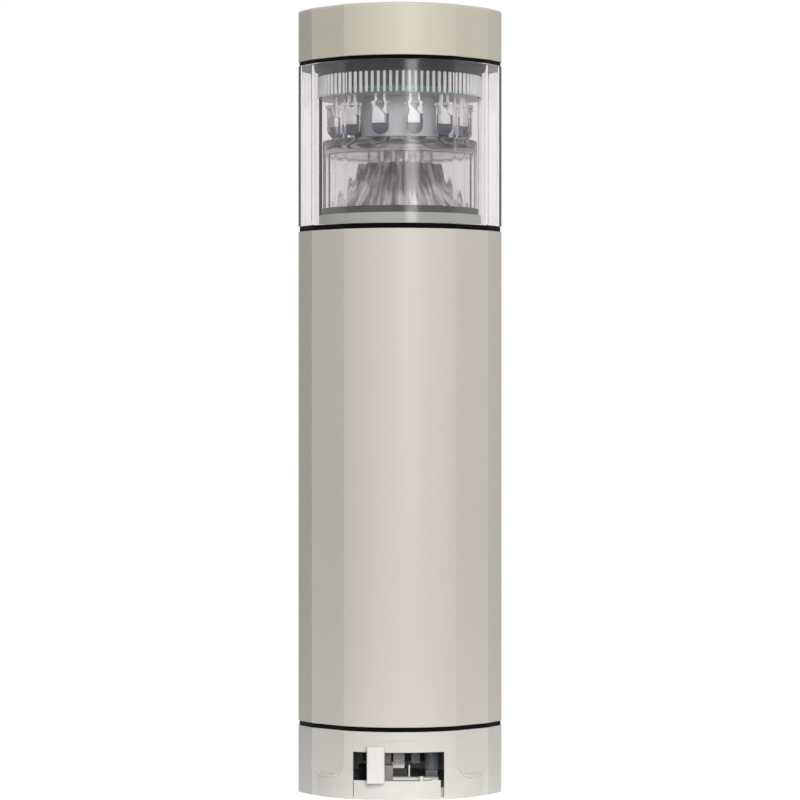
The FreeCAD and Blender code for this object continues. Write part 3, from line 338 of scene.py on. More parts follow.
def around(radius, turn, z=0.0):
    """A point on a circle about the column's axis, at a turn from the right."""
    return Vector((radius * math.cos(turn), radius * math.sin(turn), z))


def section(radius, z, bow=32, flat=6):
    """The column's outline at a height, and which of its points are corners."""
    points, corners = [], []

    def run(target):
        start = points[-1]
        points.extend([start.lerp(target, step / flat) for step in range(1, flat)])

    reach = radius + SHOULDER_PROUD
    slant = math.radians(SHOULDER_TURN)
    side = radius / math.tan(math.radians(SIDE_TURN))
    for face in (1, -1):
        for step in range(bow + 1):
            turn = math.radians(BOW_TURN) * (2 * step / bow - 1)
            spot = Vector((face * radius * math.sin(turn), -face * radius * math.cos(turn), z))
            if step == 0 and points:
                run(spot)
            if step in (0, bow):
                corners.append(len(points))
            points.append(spot)
        for across, along in ((reach * math.sin(slant), -reach * math.cos(slant)), (radius, -side),
                              (radius, side), (reach * math.sin(slant), reach * math.cos(slant))):
            spot = Vector((face * across, face * along, z))
            run(spot)
            corners.append(len(points))
            points.append(spot)
    run(points[0])
    return points, corners


def sections(stations, bow=32, flat=6):
    """The column's outline at each (radius, height) station, and its corners."""
    outlines = [section(radius, z, bow, flat) for radius, z in stations]
    return [points for points, _ in outlines], outlines[0][1]


def end_rim(z, rim, way):
    """The stations of a housing's rounded end; way is 1 at its foot, -1 at its head."""
    return [(OUTER - rim, z), (OUTER - rim * 0.3, z + way * rim * 0.3), (OUTER, z + way * rim)]


def on_shoulder(point):
    """Whether a corner of the section lies between the slanted and the side flats."""
    turn = abs(math.degrees(math.atan2(point.x, -point.y)))
    return min(abs(turn - SHOULDER_TURN), abs(180 - turn - SHOULDER_TURN)) < 2


def round_loop(radius, z, like=None, count=96):
    """A circle at a height; it follows the turns of another loop's points if given."""
    if like:
        turns = [math.atan2(point.y, point.x) for point in like]
    else:
        turns = [2 * math.pi * spot / count for spot in range(count)]
    return [around(radius, turn, z) for turn in turns]


def placed(name, mesh):
    """A new object with the mesh, put in the scene."""
    item = bpy.data.objects.new(name, mesh)
    bpy.context.scene.collection.objects.link(item)
    return item


def loft(name, loops, closed=False, corners=(), sharp_loops=(), capped=False, plain_loops=()):
    """A mesh through loops of equal count; corners and sharp loops stay crisp.

    Between two plain loops the corners are smooth all the same.
    """
    count, rows = len(loops[0]), len(loops)
    faces = []
    for span in range(rows if closed else rows - 1):
        low_row, high_row = span * count, ((span + 1) % rows) * count
        for spot in range(count):
            after = (spot + 1) % count
            faces.append((low_row + spot, low_row + after, high_row + after, high_row + spot))
    if capped:
        faces.append(tuple(reversed(range(count))))
        faces.append(tuple(range((rows - 1) * count, rows * count)))
    mesh = bpy.data.meshes.new(name)
    mesh.from_pydata([tuple(point) for loop in loops for point in loop], [], faces)
    mesh.validate()
    work = bmesh.new()
    work.from_mesh(mesh)
    bmesh.ops.recalc_face_normals(work, faces=work.faces)
    work.to_mesh(mesh)
    work.free()
    mesh.shade_smooth()
    values = []
    for edge in mesh.edges:
        (first_row, first), (second_row, second) = (divmod(spot, count) for spot in edge.vertices)
        upright = first == second and first in corners
        plain = first_row in plain_loops and second_row in plain_loops
        level = first_row == second_row and first_row in sharp_loops
        values.append(upright and not plain or level)
    marks = mesh.attributes.get("sharp_edge") or mesh.attributes.new("sharp_edge", "BOOLEAN", "EDGE")
    marks.data.foreach_set("value", values)
    return placed(name, mesh)


def lathe(name, profile, count=96, sharp=(), spot=Vector(), closed=True):
    """A turned piece from (radius, height) pairs, about an upright axis."""
    loops = [[point + spot for point in round_loop(radius, z, count=count)] for radius, z in profile]
    return loft(name, loops, closed, (), sharp)


def tube(name, hole, reach, bottom, top, edges=DISC_EDGES, count=96, spot=Vector()):
    """A plain turned disc or ring between two heights."""
    return lathe(name, [(hole, bottom), (reach, bottom), (reach, top), (hole, top)], count, edges, spot)


def soften(points, corners, times):
    """A closed outline with the given corners drawn in."""
    count = len(points)
    near = {(corner + step) % count for corner in corners for step in range(-times, times + 1)}
    for _ in range(times):
        points = [(points[spot - 1] + points[spot] * 2 + points[(spot + 1) % count]) / 4 if spot in near
                  else points[spot] for spot in range(count)]
    return points


def block(name, low_corner, high_corner, rim=0.15 * MM):
    """A small moulded block with eased edges."""
    (x, y, z), (right, back, top) = low_corner, high_corner
    loops = []
    for inset, height in ((rim, z), (0.0, z + rim), (0.0, top - rim), (rim, top)):
        left, near, far, end = x + inset, y + inset, back - inset, right - inset
        loops.append([Vector((left, near, height)), Vector((end, near, height)),
                      Vector((end, far, height)), Vector((left, far, height))])
    return loft(name, loops, False, range(4), (0, 3), capped=True)


def joined(name, items):
    """One piece from several, with each part's own finish kept."""
    bpy.ops.object.select_all(action="DESELECT")
    for item in items:
        item.select_set(True)
    bpy.context.view_layer.objects.active = items[0]
    bpy.ops.object.join()
    items[0].name = name
    return items[0]


def copy_of(node, name, angle=7.0, rim=0.0, rim_angle=50.0):
    """A frame node's own shape as a new piece, welded, smoothed and its edges eased."""
    work = bmesh.new()
    work.from_mesh(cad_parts[node].data)
    bmesh.ops.remove_doubles(work, verts=work.verts, dist=1e-6)
    bmesh.ops.dissolve_limit(work, angle_limit=math.radians(0.5), verts=work.verts, edges=work.edges)
    mesh = bpy.data.meshes.new(name)
    work.to_mesh(mesh)
    work.free()
    item = placed(name, mesh)
    if rim:
        ease_edges(item, rim, rim_angle)
    item.data.shade_smooth()
    item.data.set_sharp_from_angle(angle=math.radians(angle))
    return item


def ease_edges(item, rim, rim_angle):
    """Rounds a piece's edges that turn by more than an angle in degrees."""
    ease = item.modifiers.new("ease", "BEVEL")
    ease.width = rim
    ease.segments = 2
    ease.limit_method = "ANGLE"
    ease.angle_limit = math.radians(rim_angle)
    ease.harden_normals = False
    apply_all(item)


def apply_all(item):
    """Turns a piece's modifiers into plain mesh."""
    graph = bpy.context.evaluated_depsgraph_get()
    mesh = bpy.data.meshes.new_from_object(item.evaluated_get(graph))
    old = item.data
    item.modifiers.clear()
    item.data = mesh
    mesh.name = old.name
    bpy.data.meshes.remove(old)


def keep(item, body, finish_name, slot, *nodes):
    """Dresses a piece, seats it on its body and hides the frame nodes that it stands for."""
    if finish_name:
        dress(item, finish_name)
    settle = item.modifiers.new("settle", "WEIGHTED_NORMAL")
    settle.keep_sharp = True
    apply_all(item)
    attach(item, body)
    if nodes:
        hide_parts(*nodes)
    return item


# ---------------------------------------------------------------- the outer pieces

class TOWER_OT_housings(bpy.types.Operator):
    """Makes the foot, the long body and the cap"""
    bl_idname = "tower.housings"
    bl_label = "Housings"

    def execute(self, context):
        sizes = context.scene.tower_sizes
        rim, crown = sizes.rim, sizes.cap_round
        low_z, high_z = BODY[0].z, BODY[1].z
        stations = end_rim(low_z, rim, 1) + end_rim(high_z, rim, -1)[::-1]
        stations += [(OUTER - BODY_WALL, high_z), (OUTER - BODY_WALL, low_z)]
        loops, corners = sections(stations)
        body = loft("tower_body", loops, True, corners, (6, 7))
        keep(body, "tower", "abs_moulded_grey", "body_grey", "body_housing")

        low_z, high_z = CAP[0].z, CAP[1].z
        stations = [(OUTER - CAP_WALL, high_z - CAP_PLATE), (OUTER - CAP_WALL, low_z)]
        stations += end_rim(low_z, rim, 1)
        for step in range(6):
            turn = math.pi / 2 * step / 5
            stations.append((OUTER - crown * (1 - math.cos(turn)), high_z - crown * (1 - math.sin(turn))))
        loops, corners = sections(stations)
        cap = loft("tower_cap", loops, False, corners, (0, 1), capped=True)
        keep(cap, "tower", "abs_yellowed_grey", "cap_grey", "top_cap")

        base = copy_of("base_housing", "tower_base", 6.5, 0.2 * MM, 60.0)
        keep(base, "tower", "abs_moulded_foot", "foot_grey", "base_housing")
        keep(window_brow(), "tower", "abs_moulded_foot", "foot_grey")
        keep(flat_lips(), "tower", "abs_moulded_foot", "foot_grey")
        return {"FINISHED"}


def bead(name, path, thin, wide, proud):
    """A low moulded bead on the foot that narrows towards its ends.

    Each stop of its path is a share from -1 to 1 of its half length, a turn and a
    height; thin is the square of the share of its width that is left at the ends.
    """
    loops = []
    for share, turn, height in path:
        size = math.sqrt(max(thin, 1 - share * share))
        out = Vector((math.sin(turn), -math.cos(turn), 0))
        loop = []
        for spot in range(8):
            bend = 2 * math.pi * spot / 8
            away = OUTER + proud * (0.2 + size * math.cos(bend))
            loop.append(out * away + Vector((0, 0, height + wide * size * math.sin(bend))))
        loops.append(loop)
    return loft(name, loops, capped=True)


# a bead's stops, as shares of its half length from its middle
BEAD_STOPS = [step / 12 - 1 for step in range(25)]


def window_brow():
    """The faint moulded arc above the service window."""
    half_wide, crown, drop = 6.3 * MM, 17.45 * MM, 0.9 * MM
    path = [(share, math.asin(half_wide * share / OUTER), crown - drop * share * share)
            for share in BEAD_STOPS]
    return bead("window_brow", path, 0.02, 0.28 * MM, 0.12 * MM)


def flat_lips():
    """The rounded lip in which each slanted flat of the foot runs out."""
    middle, half_turn = 46.0, 10.6
    bottom, rise = 6.2 * MM, 2.3 * MM
    lips = []
    for face in (0, 180):
        for side in (-1, 1):
            turns = [math.radians(face + side * (middle + half_turn * share)) for share in BEAD_STOPS]
            path = [(share, turn, bottom + rise * share ** 4) for share, turn in zip(BEAD_STOPS, turns)]
            lips.append(bead("lip", path, 0.03, 0.62 * MM, 0.4 * MM))
    return joined("flat_lips", lips)


class TOWER_OT_seals(bpy.types.Operator):
    """Makes the three black seals"""
    bl_idname = "tower.seals"
    bl_label = "Seals"

    def execute(self, context):
        reach = OUTER - context.scene.tower_sizes.seal_inset
        edge = 0.25 * MM
        hole = LENS[1].x - 5.5 * MM
        for node in ("base_gasket", "lens_gasket", "cap_gasket"):
            bottom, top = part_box(node)
            loops, corners = sections([(reach - edge, bottom.z), (reach, bottom.z + edge),
                                       (reach, top.z - edge), (reach - edge, top.z)])
            loops += [round_loop(hole, z, like=loops[0]) for z in (top.z, bottom.z)]
            ring = loft(node.replace("gasket", "seal"), loops, True, corners, (4, 5))
            keep(ring, "tower", "rubber_cut_black", "seal_black", node)
        return {"FINISHED"}


class TOWER_OT_lens(bpy.types.Operator):
    """Makes the clear lens: a thin wall that follows the outline inside and out"""
    bl_idname = "tower.lens"
    bl_label = "Lens"

    def execute(self, context):
        sizes = context.scene.tower_sizes
        low_z, high_z = LENS[0].z, LENS[1].z
        rim = sizes.rim
        fine = (48, 10)
        loops, corners = sections([(OUTER - rim, low_z), (OUTER, low_z + rim),
                                   (OUTER, high_z - rim), (OUTER - rim, high_z)], *fine)
        # inside, the corners between slanted and side flats are round
        for z in (high_z, low_z):
            inner = section(OUTER - sizes.lens_wall, z, *fine)[0]
            loops.append(soften(inner, [corner for corner in corners if on_shoulder(inner[corner])], 3))
        clear = loft("clear_lens", loops, True, corners, (0, 3, 4, 5), plain_loops=(4, 5))
        keep(clear, "tower", "polycarbonate_clear", "clear_plastic", "lens")
        return {"FINISHED"}


# ---------------------------------------------------------------- the lamp section

class TOWER_OT_lamps(bpy.types.Operator):
    """Makes the ring of clear lamps, their pale frames and the slate plates of painted shade behind them"""
    bl_idname = "tower.lamps"
    bl_label = "Lamps"

    def execute(self, context):
        sizes = context.scene.tower_sizes
        bottom, top = LAMPS[0].z, LAMPS[1].z
        radius, flange, ease = sizes.lamp_radius, 2.9 * MM, 0.1 * MM
        neck, shoulder = top - 1.0 * MM, top - 7.2 * MM
        # the flange with its rounded edge, the straight barrel and the round nose
        profile = [(0.02 * MM, top), (flange - 1.5 * ease, top), (flange, top - 1.5 * ease),
                   (flange, neck + ease), (flange - ease, neck), (radius + ease, neck),
                   (radius, neck - ease), (radius, shoulder)]
        for step in range(1, 9):
            bend = math.pi / 2 * step / 8
            profile.append((max(0.02 * MM, radius * math.cos(bend)),
                            shoulder - (shoulder - bottom) * math.sin(bend)))
        # the slate plate of painted shade behind the frame: a plate with two slanted lower corners
        low_edge, high_edge, half_wide = bottom + 0.9 * MM, shoulder + 3.6 * MM, 1.95 * MM
        corners = [(-1.2 * MM, low_edge), (1.2 * MM, low_edge), (half_wide, low_edge + 1.0 * MM),
                   (half_wide, high_edge), (-half_wide, high_edge), (-half_wide, low_edge + 1.0 * MM)]
        bulbs, frames, shade_plates = [], [], []
        for spot, (turn, away) in enumerate(lamp_spots(sizes)):
            bulbs.append(lathe(f"bulb_{spot}", profile, 24, (1, 5), away))
            frames += lamp_frame(away, turn, top, BOARD[0].z - sizes.board_drop, shoulder)
            shade_plates.append(plate("pad", corners, 0.2 * MM, away * (1 - 0.75 * MM / sizes.lamp_circle), turn))
        keep(joined("lamp_bulbs", bulbs), "tower", "epoxy_cast_clear", "clear_plastic", "led_lamps")
        # the slate plates behind the frames are painted shade for the lamps' dark lower ends
        keep(joined("lamp_pads", shade_plates), "tower", "pad_enamel_slate", "tinned_lead", "led_leads")
        keep(joined("lamp_frames", frames), "tower", "lead_tinned", "tinned_lead", "led_leads")
        return {"FINISHED"}


def lamp_spots(sizes):
    """The turn and the place of each lamp in the ring."""
    turns = [sizes.lamp_turn + 2 * math.pi * spot / sizes.lamp_count for spot in range(sizes.lamp_count)]
    return [(turn, around(sizes.lamp_circle, turn)) for turn in turns]


def plate(name, corners, thick, away, turn):
    """A thin flat stamping from (across, height) corners, standing at a lamp."""
    out, side = around(1, turn), around(1, turn + math.pi / 2)
    loops = [[away + side * across + out * offset + Vector((0, 0, z)) for across, z in corners]
             for offset in (-thick / 2, thick / 2)]
    return loft(name, loops, False, range(len(corners)), (0, 1), capped=True)


def lamp_frame(away, turn, top, board, shoulder):
    """The lamp's two stamped legs, which open into a pale cup that holds the chip."""
    wide, apart = 0.3 * MM, 1.27 * MM
    deep = shoulder + 0.9 * MM
    anvil = [(-apart - wide, board), (-apart - wide, top - 1.2 * MM), (-1.1 * MM, deep + 3.4 * MM),
             (-1.7 * MM, deep + 2.4 * MM), (-1.7 * MM, deep), (1.1 * MM, deep), (1.1 * MM, deep + 2.4 * MM),
             (0.3 * MM, deep + 3.4 * MM), (-apart + wide, top - 1.0 * MM), (-apart + wide, board)]
    flag = [(apart + wide, board), (apart - wide, board), (apart - wide, top - 1.4 * MM),
            (0.5 * MM, deep + 3.7 * MM), (1.3 * MM, deep + 2.7 * MM), (1.8 * MM, deep + 2.7 * MM),
            (1.7 * MM, deep + 4.0 * MM), (apart + wide, top - 1.2 * MM)]
    return [plate("anvil", anvil, 0.9 * MM, away, turn), plate("flag", flag, 0.6 * MM, away, turn)]


class TOWER_OT_optic(bpy.types.Operator):
    """Makes the dimpled cup, the folded cone, the dark disc and the pale collar"""
    bl_idname = "tower.optic"
    bl_label = "Optic"

    def execute(self, context):
        sizes = context.scene.tower_sizes
        keep(dimpled_cup(sizes), "tower", "acrylic_thick", "clear_plastic", "optic_cup")
        keep(folded_cone(sizes), "tower", "plastic_silvered", "silvered_plastic", "star_reflector")
        bottom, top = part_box("cup_heel")
        reach, edge = top.x, 0.15 * MM
        profile = [(HAIR, bottom.z), (reach, bottom.z), (reach, top.z - edge), (reach - edge, top.z),
                   (HAIR, top.z)]
        heel = lathe("cup_heel_disc", profile, 96, DISC_EDGES)
        keep(heel, "tower", "nylon_filled_dark", "dark_plastic", "cup_heel")
        collar = copy_of("upper_bulkhead", "lamp_socket", 25.0)
        keep(collar, "tower", "nylon_pale_collar", "collar_grey", "upper_bulkhead")
        return {"FINISHED"}


def dimpled_cup(sizes):
    """A thin pleated skirt under a thick plate with a round dimple below each lamp."""
    reach, low_z, high_z = CUP[1].x, CUP[0].z, CUP[1].z
    skirt_top = high_z - CUP_PLATE
    inner = reach - 1.5 * MM
    edge = 0.3 * MM
    count = 288
    profile = [(HAIR, skirt_top), (inner - edge, skirt_top), (inner, skirt_top - edge), (inner, low_z),
               (reach, low_z), (reach, high_z - edge), (reach - edge, high_z)]
    loops = [round_loop(radius, z, count=count) for radius, z in profile]
    # the skirt is pleated inside: what stands behind it is seen in streaks
    pleat = 0.006
    for loop in loops[1:4]:
        for spot, point in enumerate(loop):
            rise = abs((spot * sizes.pleats / count) % 1.0 - 0.5) * 2
            point.x, point.y = point.x * (1 - pleat * rise), point.y * (1 - pleat * rise)
    # a dimple is the cap of a ball, which is worked out from its radius and depth
    radius, deep = sizes.dimple_radius, sizes.dimple_deep
    ball = (radius * radius + deep * deep) / (2 * deep)
    centres = [away for _, away in lamp_spots(sizes)]
    fine, coarse = 0.35 * MM, [10 * MM, 5 * MM, HAIR]
    for across in [reach - edge - 0.02 * MM - step * fine for step in range(20)] + coarse:
        loop = round_loop(across, high_z, count=count)
        for point in loop:
            flat = Vector((point.x, point.y, 0))
            gap = min((flat - centre).length for centre in centres)
            if gap < radius:
                point.z -= math.sqrt(ball * ball - gap * gap) - (ball - deep)
        loops.append(loop)
    return loft("dimpled_cup", loops, True, (), (3, 4))


def folded_cone(sizes):
    """The silvered cone: crisp folds that flare towards the foot, and pegs on its head."""
    foot, head, tall = STAR[1].x, 11.9 * MM, 13.45 * MM
    base_z, top_z = STAR[0].z + tall, STAR[1].z
    half = math.pi / sizes.folds
    # a fold's root lies a tenth inside its tip, and the slope is slightly hollow
    root_share, hollow = 0.9 / math.cos(half), 0.92
    loops = []
    for step in range(9):
        tip = foot + (head - foot) * (step / 8) ** hollow
        loops.append([around(tip * (root_share if spot % 2 else 1), spot * half, STAR[0].z + tall * step / 8)
                      for spot in range(2 * sizes.folds)])
    parts = [loft("cone", loops, False, range(2 * sizes.folds), (0, 8), capped=True)]
    profile = [(0.02 * MM, base_z), (0.65 * MM, base_z), (0.55 * MM, top_z), (0.02 * MM, top_z)]
    for spot in range(0, sizes.folds, 2):
        parts.append(lathe(f"peg_{spot}", profile, 12, DISC_EDGES, around(9.5 * MM, 2 * spot * half)))
    return joined("folded_cone", parts)


class TOWER_OT_crown(bpy.types.Operator):
    """Makes the ribbed ring, the board, stem, spacer and carrier in it, and the wires"""
    bl_idname = "tower.crown"
    bl_label = "Ribbed ring"

    def execute(self, context):
        drop = context.scene.tower_sizes.board_drop
        low_z, high_z = RIBS[0].z - drop, RIBS[1].z - 1.8 * MM
        tip, root = RIBS[1].x, RIBS[1].x - 0.75 * MM
        ring = tube("ribbed_ring", root - 0.55 * MM, root, low_z, high_z, RING_EDGES, 168)
        keep(ring, "tower", "acrylic_clear", "clear_plastic", "rib_ring")
        ribs = rib_bars(context.scene.tower_sizes.ribs, root + 0.02 * MM, tip, low_z, high_z)
        # the ribs' milky white stands in for their highlights: painted highlight
        keep(ribs, "tower", "acrylic_milky", "clear_plastic", "rib_ring")

        board = BOARD[0].z - drop
        disc = tube("lamp_board", HAIR, BOARD[1].x, board, BOARD[1].z - drop + 0.3 * MM)
        stem = tube("light_stem", HAIR, 11.5 * MM, CUP[1].z - 0.3 * MM, board)
        keep(stem, "tower", "acrylic_frosted", "clear_plastic")
        # the board's lamp side is white, its edge and back are green
        dress(disc, "board_masked_green")
        disc.data.materials.append(bpy.data.materials["board_masked_white"])
        for face in disc.data.polygons:
            face.material_index = 1 if face.normal.z < -0.5 else 0
        keep(disc, "tower", "", "board_green", "led_board")

        bottom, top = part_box("spacer_ring")
        spacer = tube("board_spacer", top.x - 2.0 * MM, top.x, bottom.z, top.z, RING_EDGES)
        keep(spacer, "tower", "nylon_black", "dark_plastic", "spacer_ring")
        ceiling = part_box("lamp_carrier")[0].z
        # a black ring from the ribs' tops up to the carrier: painted shade for the shadowed gap there
        skirt = tube("carrier_shade_ring", tip - 2.6 * MM, tip - 0.1 * MM, high_z, ceiling, RING_EDGES)
        keep(skirt, "tower", "nylon_black", "dark_plastic", "lamp_carrier")
        carrier = copy_of("lamp_carrier", "lamp_ceiling", 25.0)
        keep(carrier, "tower", "nylon_black", "dark_plastic", "lamp_carrier")

        bottom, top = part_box("lamp_wires")
        for name, side, cover in (("lead_black", -1, "rubber_cut_black"),
                                  ("lead_white", 1, "pvc_drawn_white")):
            wire = tube(name, 0.01 * MM, 0.7 * MM, bottom.z, top.z - drop, count=16,
                        spot=Vector((side * (top.x - 0.2 * MM), 0, 0)))
            keep(wire, "tower", cover, "wire_black", "lamp_wires")
        return {"FINISHED"}


def rib_bars(count, root, tip, low_z, high_z):
    """The upright half-round bars of the ribbed ring, whose ends taper."""
    half_wide, ease, taper = 0.46 * MM, 0.3 * MM, 0.6
    ribs = []
    for spot in range(count):
        turn = 2 * math.pi * (spot + 0.5) / count
        out, side = around(1, turn), around(1, turn + math.pi / 2)
        loops = []
        for z, share in ((low_z, taper), (low_z + ease, 1.0), (high_z - ease, 1.0), (high_z, taper)):
            bends = [math.pi * step / 6 for step in range(7)]
            loops.append([out * (root + (tip - root) * share * math.sin(bend))
                          + side * half_wide * share * math.cos(bend) + Vector((0, 0, z)) for bend in bends])
        ribs.append(loft(f"rib_{spot}", loops, False, (0, 6), (0, 3), capped=True))
    return joined("ring_ribs", ribs)


# ---------------------------------------------------------------- the foot's pieces

class TOWER_OT_latch(bpy.types.Operator):
    """Makes the sill, the sliding latch and the small parts seen in the window"""
    bl_idname = "tower.latch"
    bl_label = "Latch"

    def execute(self, context):
        sill = copy_of("mount_plate", "mounting_plate", 12.0, 0.15 * MM, 60.0)
        keep(sill, "tower", "abs_moulded_pale", "plate_grey", "mount_plate")
        knob = copy_of("latch_knob", "slide_knob", 35.0)
        keep(knob, "latch", "abs_polished_white", "white_plastic", "latch_knob")
        bottom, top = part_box("latch_carriage")
        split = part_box("latch_knob")[0].x + 0.3 * MM
        pad = block("slide_pad", bottom, (split, top.y, top.z))
        keep(pad, "latch", "rubber_cut_black", "dark_plastic", "latch_carriage")
        slide = block("slide_block", (split, bottom.y, bottom.z), top)
        keep(slide, "latch", "acetal_cut_grey", "dark_plastic", "latch_carriage")
        dress_frame({"latch_pin": "abs_moulded_pale", "terminal_block": "nylon_filled_dark",
                     "switch_block": "acetal_cut_grey", "foot_board": "board_masked_green",
                     "smoothing_can": "film_shrunk_grey"})
        # small parts on and under the foot's board, behind the slide's travel: each
        # has its near low and its far high corner in millimetres
        parts = (
            ("switch_foot", (-2.3, -20.4, 8.3), (1.3, -19.4, 10.05), "board_masked_white", "light_plastic"),
            ("relay_case", (-2.8, -19.3, 5.9), (2.0, -15.0, 8.2), "nylon_filled_dark", "dark_plastic"),
            ("guide_post", (-4.6, -20.0, 5.0), (-2.6, -18.8, 14.25), "acetal_cut_grey", "dark_plastic"),
            ("choke_case", (3.3, -20.0, 9.6), (5.8, -17.5, 14.25), "film_shrunk_grey", "can_sleeve"),
            ("can_socket", (7.5, -19.0, 4.6), (11.0, -15.0, 7.7), "film_shrunk_grey", "can_sleeve"),
        )
        for name, near, far, cover, slot in parts:
            item = block(name, [part * MM for part in near], [part * MM for part in far])
            keep(item, "tower", cover, slot)
        pin = tube("test_pin", 0.01 * MM, 0.25 * MM, 5.5 * MM, 9.2 * MM, count=12,
                   spot=Vector((2.7 * MM, -20.0 * MM, 0)))
        keep(pin, "tower", "lead_tinned", "tinned_lead")
        return {"FINISHED"}


class TOWER_OT_inside(bpy.types.Operator):
    """Dresses the pieces inside the body"""
    bl_idname = "tower.inside"
    bl_label = "Inside"

    def execute(self, context):
        dress_frame({"driver_board": "board_masked_green", "driver_coils": "film_shrunk_grey",
                     "tie_rods": "steel_zinc_plated"})
        return {"FINISHED"}


# ---------------------------------------------------------------- the stage

def softbox(name, spot, target, wide, tall, power, colour="#FFFFFF"):
    """A soft area light that looks at a point; its glow fades towards its sides."""
    lamp = bpy.data.lights.new(name, "AREA")
    lamp.shape = "RECTANGLE"
    tree = bare_tree(lamp)
    where = add(tree, "ShaderNodeNewGeometry").outputs["Parametric"]
    across = add(tree, "ShaderNodeSeparateXYZ", inputs={"Vector": where}).outputs["X"]
    off = add(tree, "ShaderNodeMath", {"operation": "SUBTRACT"}, {0: across, 1: 0.5})
    far = add(tree, "ShaderNodeMath", {"operation": "ABSOLUTE"}, {0: off})
    fade = add(tree, "ShaderNodeMapRange", {"interpolation_type": "SMOOTHSTEP"},
               {"Value": far, "From Min": 0.05, "From Max": 0.5, "To Min": 1.7, "To Max": 0.05})
    glow = add(tree, "ShaderNodeEmission", inputs={"Color": linear("#FFFFFF"), "Strength": fade})
    add(tree, "ShaderNodeOutputLight", inputs={"Surface": glow})
    lamp.size = wide
    lamp.size_y = tall
    lamp.energy = power
    lamp.color = linear(colour)[:3]
    item = bpy.data.objects.new(name, lamp)
    item.location = spot
    item.rotation_euler = (Vector(target) - Vector(spot)).to_track_quat("-Z", "Y").to_euler()
    bpy.context.scene.collection.objects.link(item)
    return item


class TOWER_OT_stage(bpy.types.Operator):
    """Makes the floor, the lights and the camera"""
    bl_idname = "tower.stage"
    bl_label = "Stage"

    def execute(self, context):
        scene = context.scene
        scene.view_settings.view_transform = "Standard"
        middle = (0.0, 0.0, 0.115)
        # the key and the box behind light the walls, but show neither in gloss nor
        # through the lens; the veil beside the key shows in both, as a soft sheen
        for key in (softbox("front_softbox", (0.15, -1.5, 0.43), middle, 0.9, 0.82, 20.8),
                    softbox("back_softbox", (0.0, 1.6, 0.6), middle, 0.9, 0.8, 7.0)):
            key.visible_glossy = False
            key.visible_transmission = False
        softbox("veil_softbox", (0.34, -1.43, 0.5), middle, 0.6, 0.95, 2.4)
        softbox("right_softbox", (1.1, 0.6, 0.5), middle, 0.5, 0.9, 0.3, "#FFF3DF")
        softbox("left_softbox", (-1.3, 0.9, 0.5), middle, 0.3, 0.9, 0.03, "#E6DCF2")
        softbox("top_softbox", (0.0, -0.2, 1.3), middle, 0.9, 0.9, 2.4)

        scene.world = white_room()
        make_floor()

        # a long lens almost a metre away, level with the column's middle
        view = bpy.data.cameras.new("front_view")
        view.lens = 143.3
        view.sensor_width = 36.0
        view.shift_y = 0.0088
        view.clip_start = 0.05
        eye = bpy.data.objects.new("front_view", view)
        eye.location = (0.0, -0.950, 0.1137)
        eye.rotation_euler = (math.pi / 2, 0.0, 0.0)
        scene.collection.objects.link(eye)
        scene.camera = eye
        return {"FINISHED"}


def white_room():
    """A white backdrop that lights almost nothing itself and shows in gloss and glass."""
    world = bpy.data.worlds.new("studio")
    tree = bare_tree(world)
    rays = add(tree, "ShaderNodeLightPath").outputs
    aim = add(tree, "ShaderNodeTexCoord").outputs["Generated"]
    way = add(tree, "ShaderNodeSeparateXYZ", inputs={"Vector": aim}).outputs
    # three strengths that rise with a ray's way along an axis: the room in front of the
    # backdrop is dimmer, which gloss shows; it is a little dimmer for what the cone
    # mirrors through the lens; and dull pieces behind the lens get more from the right
    room, dusk, side = [add(tree, "ShaderNodeMapRange", inputs={
        "Value": way[axis], "From Min": start, "From Max": end, "To Min": first, "To Max": last})
        for axis, start, end, first, last in (("Y", -0.5, 0.25, 0.18, 1.0), ("Y", -0.6, 0.3, 0.85, 1.0),
                                              ("X", -1.0, 1.0, 0.4, 0.8))]
    mirrored = add(tree, "ShaderNodeMath", {"operation": "MINIMUM"}, {0: rays["Glossy Depth"], 1: 1.0})
    scattered = add(tree, "ShaderNodeMath", {"operation": "MINIMUM"}, {0: rays["Diffuse Depth"], 1: 1.0})
    clear = add(tree, "ShaderNodeMapRange", inputs={"Value": mirrored, "To Min": 1.0, "To Max": dusk})
    behind = add(tree, "ShaderNodeMapRange", inputs={"Value": scattered, "To Min": clear, "To Max": side})
    sheen = add(tree, "ShaderNodeMath", {"operation": "MULTIPLY"}, {0: rays["Is Glossy Ray"], 1: room})
    through = add(tree, "ShaderNodeMath", {"operation": "MULTIPLY"},
                  {0: rays["Is Transmission Ray"], 1: behind})
    seen = add(tree, "ShaderNodeMath", {"operation": "MAXIMUM"}, {0: rays["Is Camera Ray"], 1: sheen})
    bright = add(tree, "ShaderNodeMath", {"operation": "MAXIMUM"}, {0: seen, 1: through})
    level = add(tree, "ShaderNodeMapRange", inputs={"Value": bright, "To Min": 0.03, "To Max": 1.0})
    paint = add(tree, "ShaderNodeBackground", inputs={"Color": linear("#FFFFFF"), "Strength": level})
    add(tree, "ShaderNodeOutputWorld", inputs={"Surface": paint})
    return world


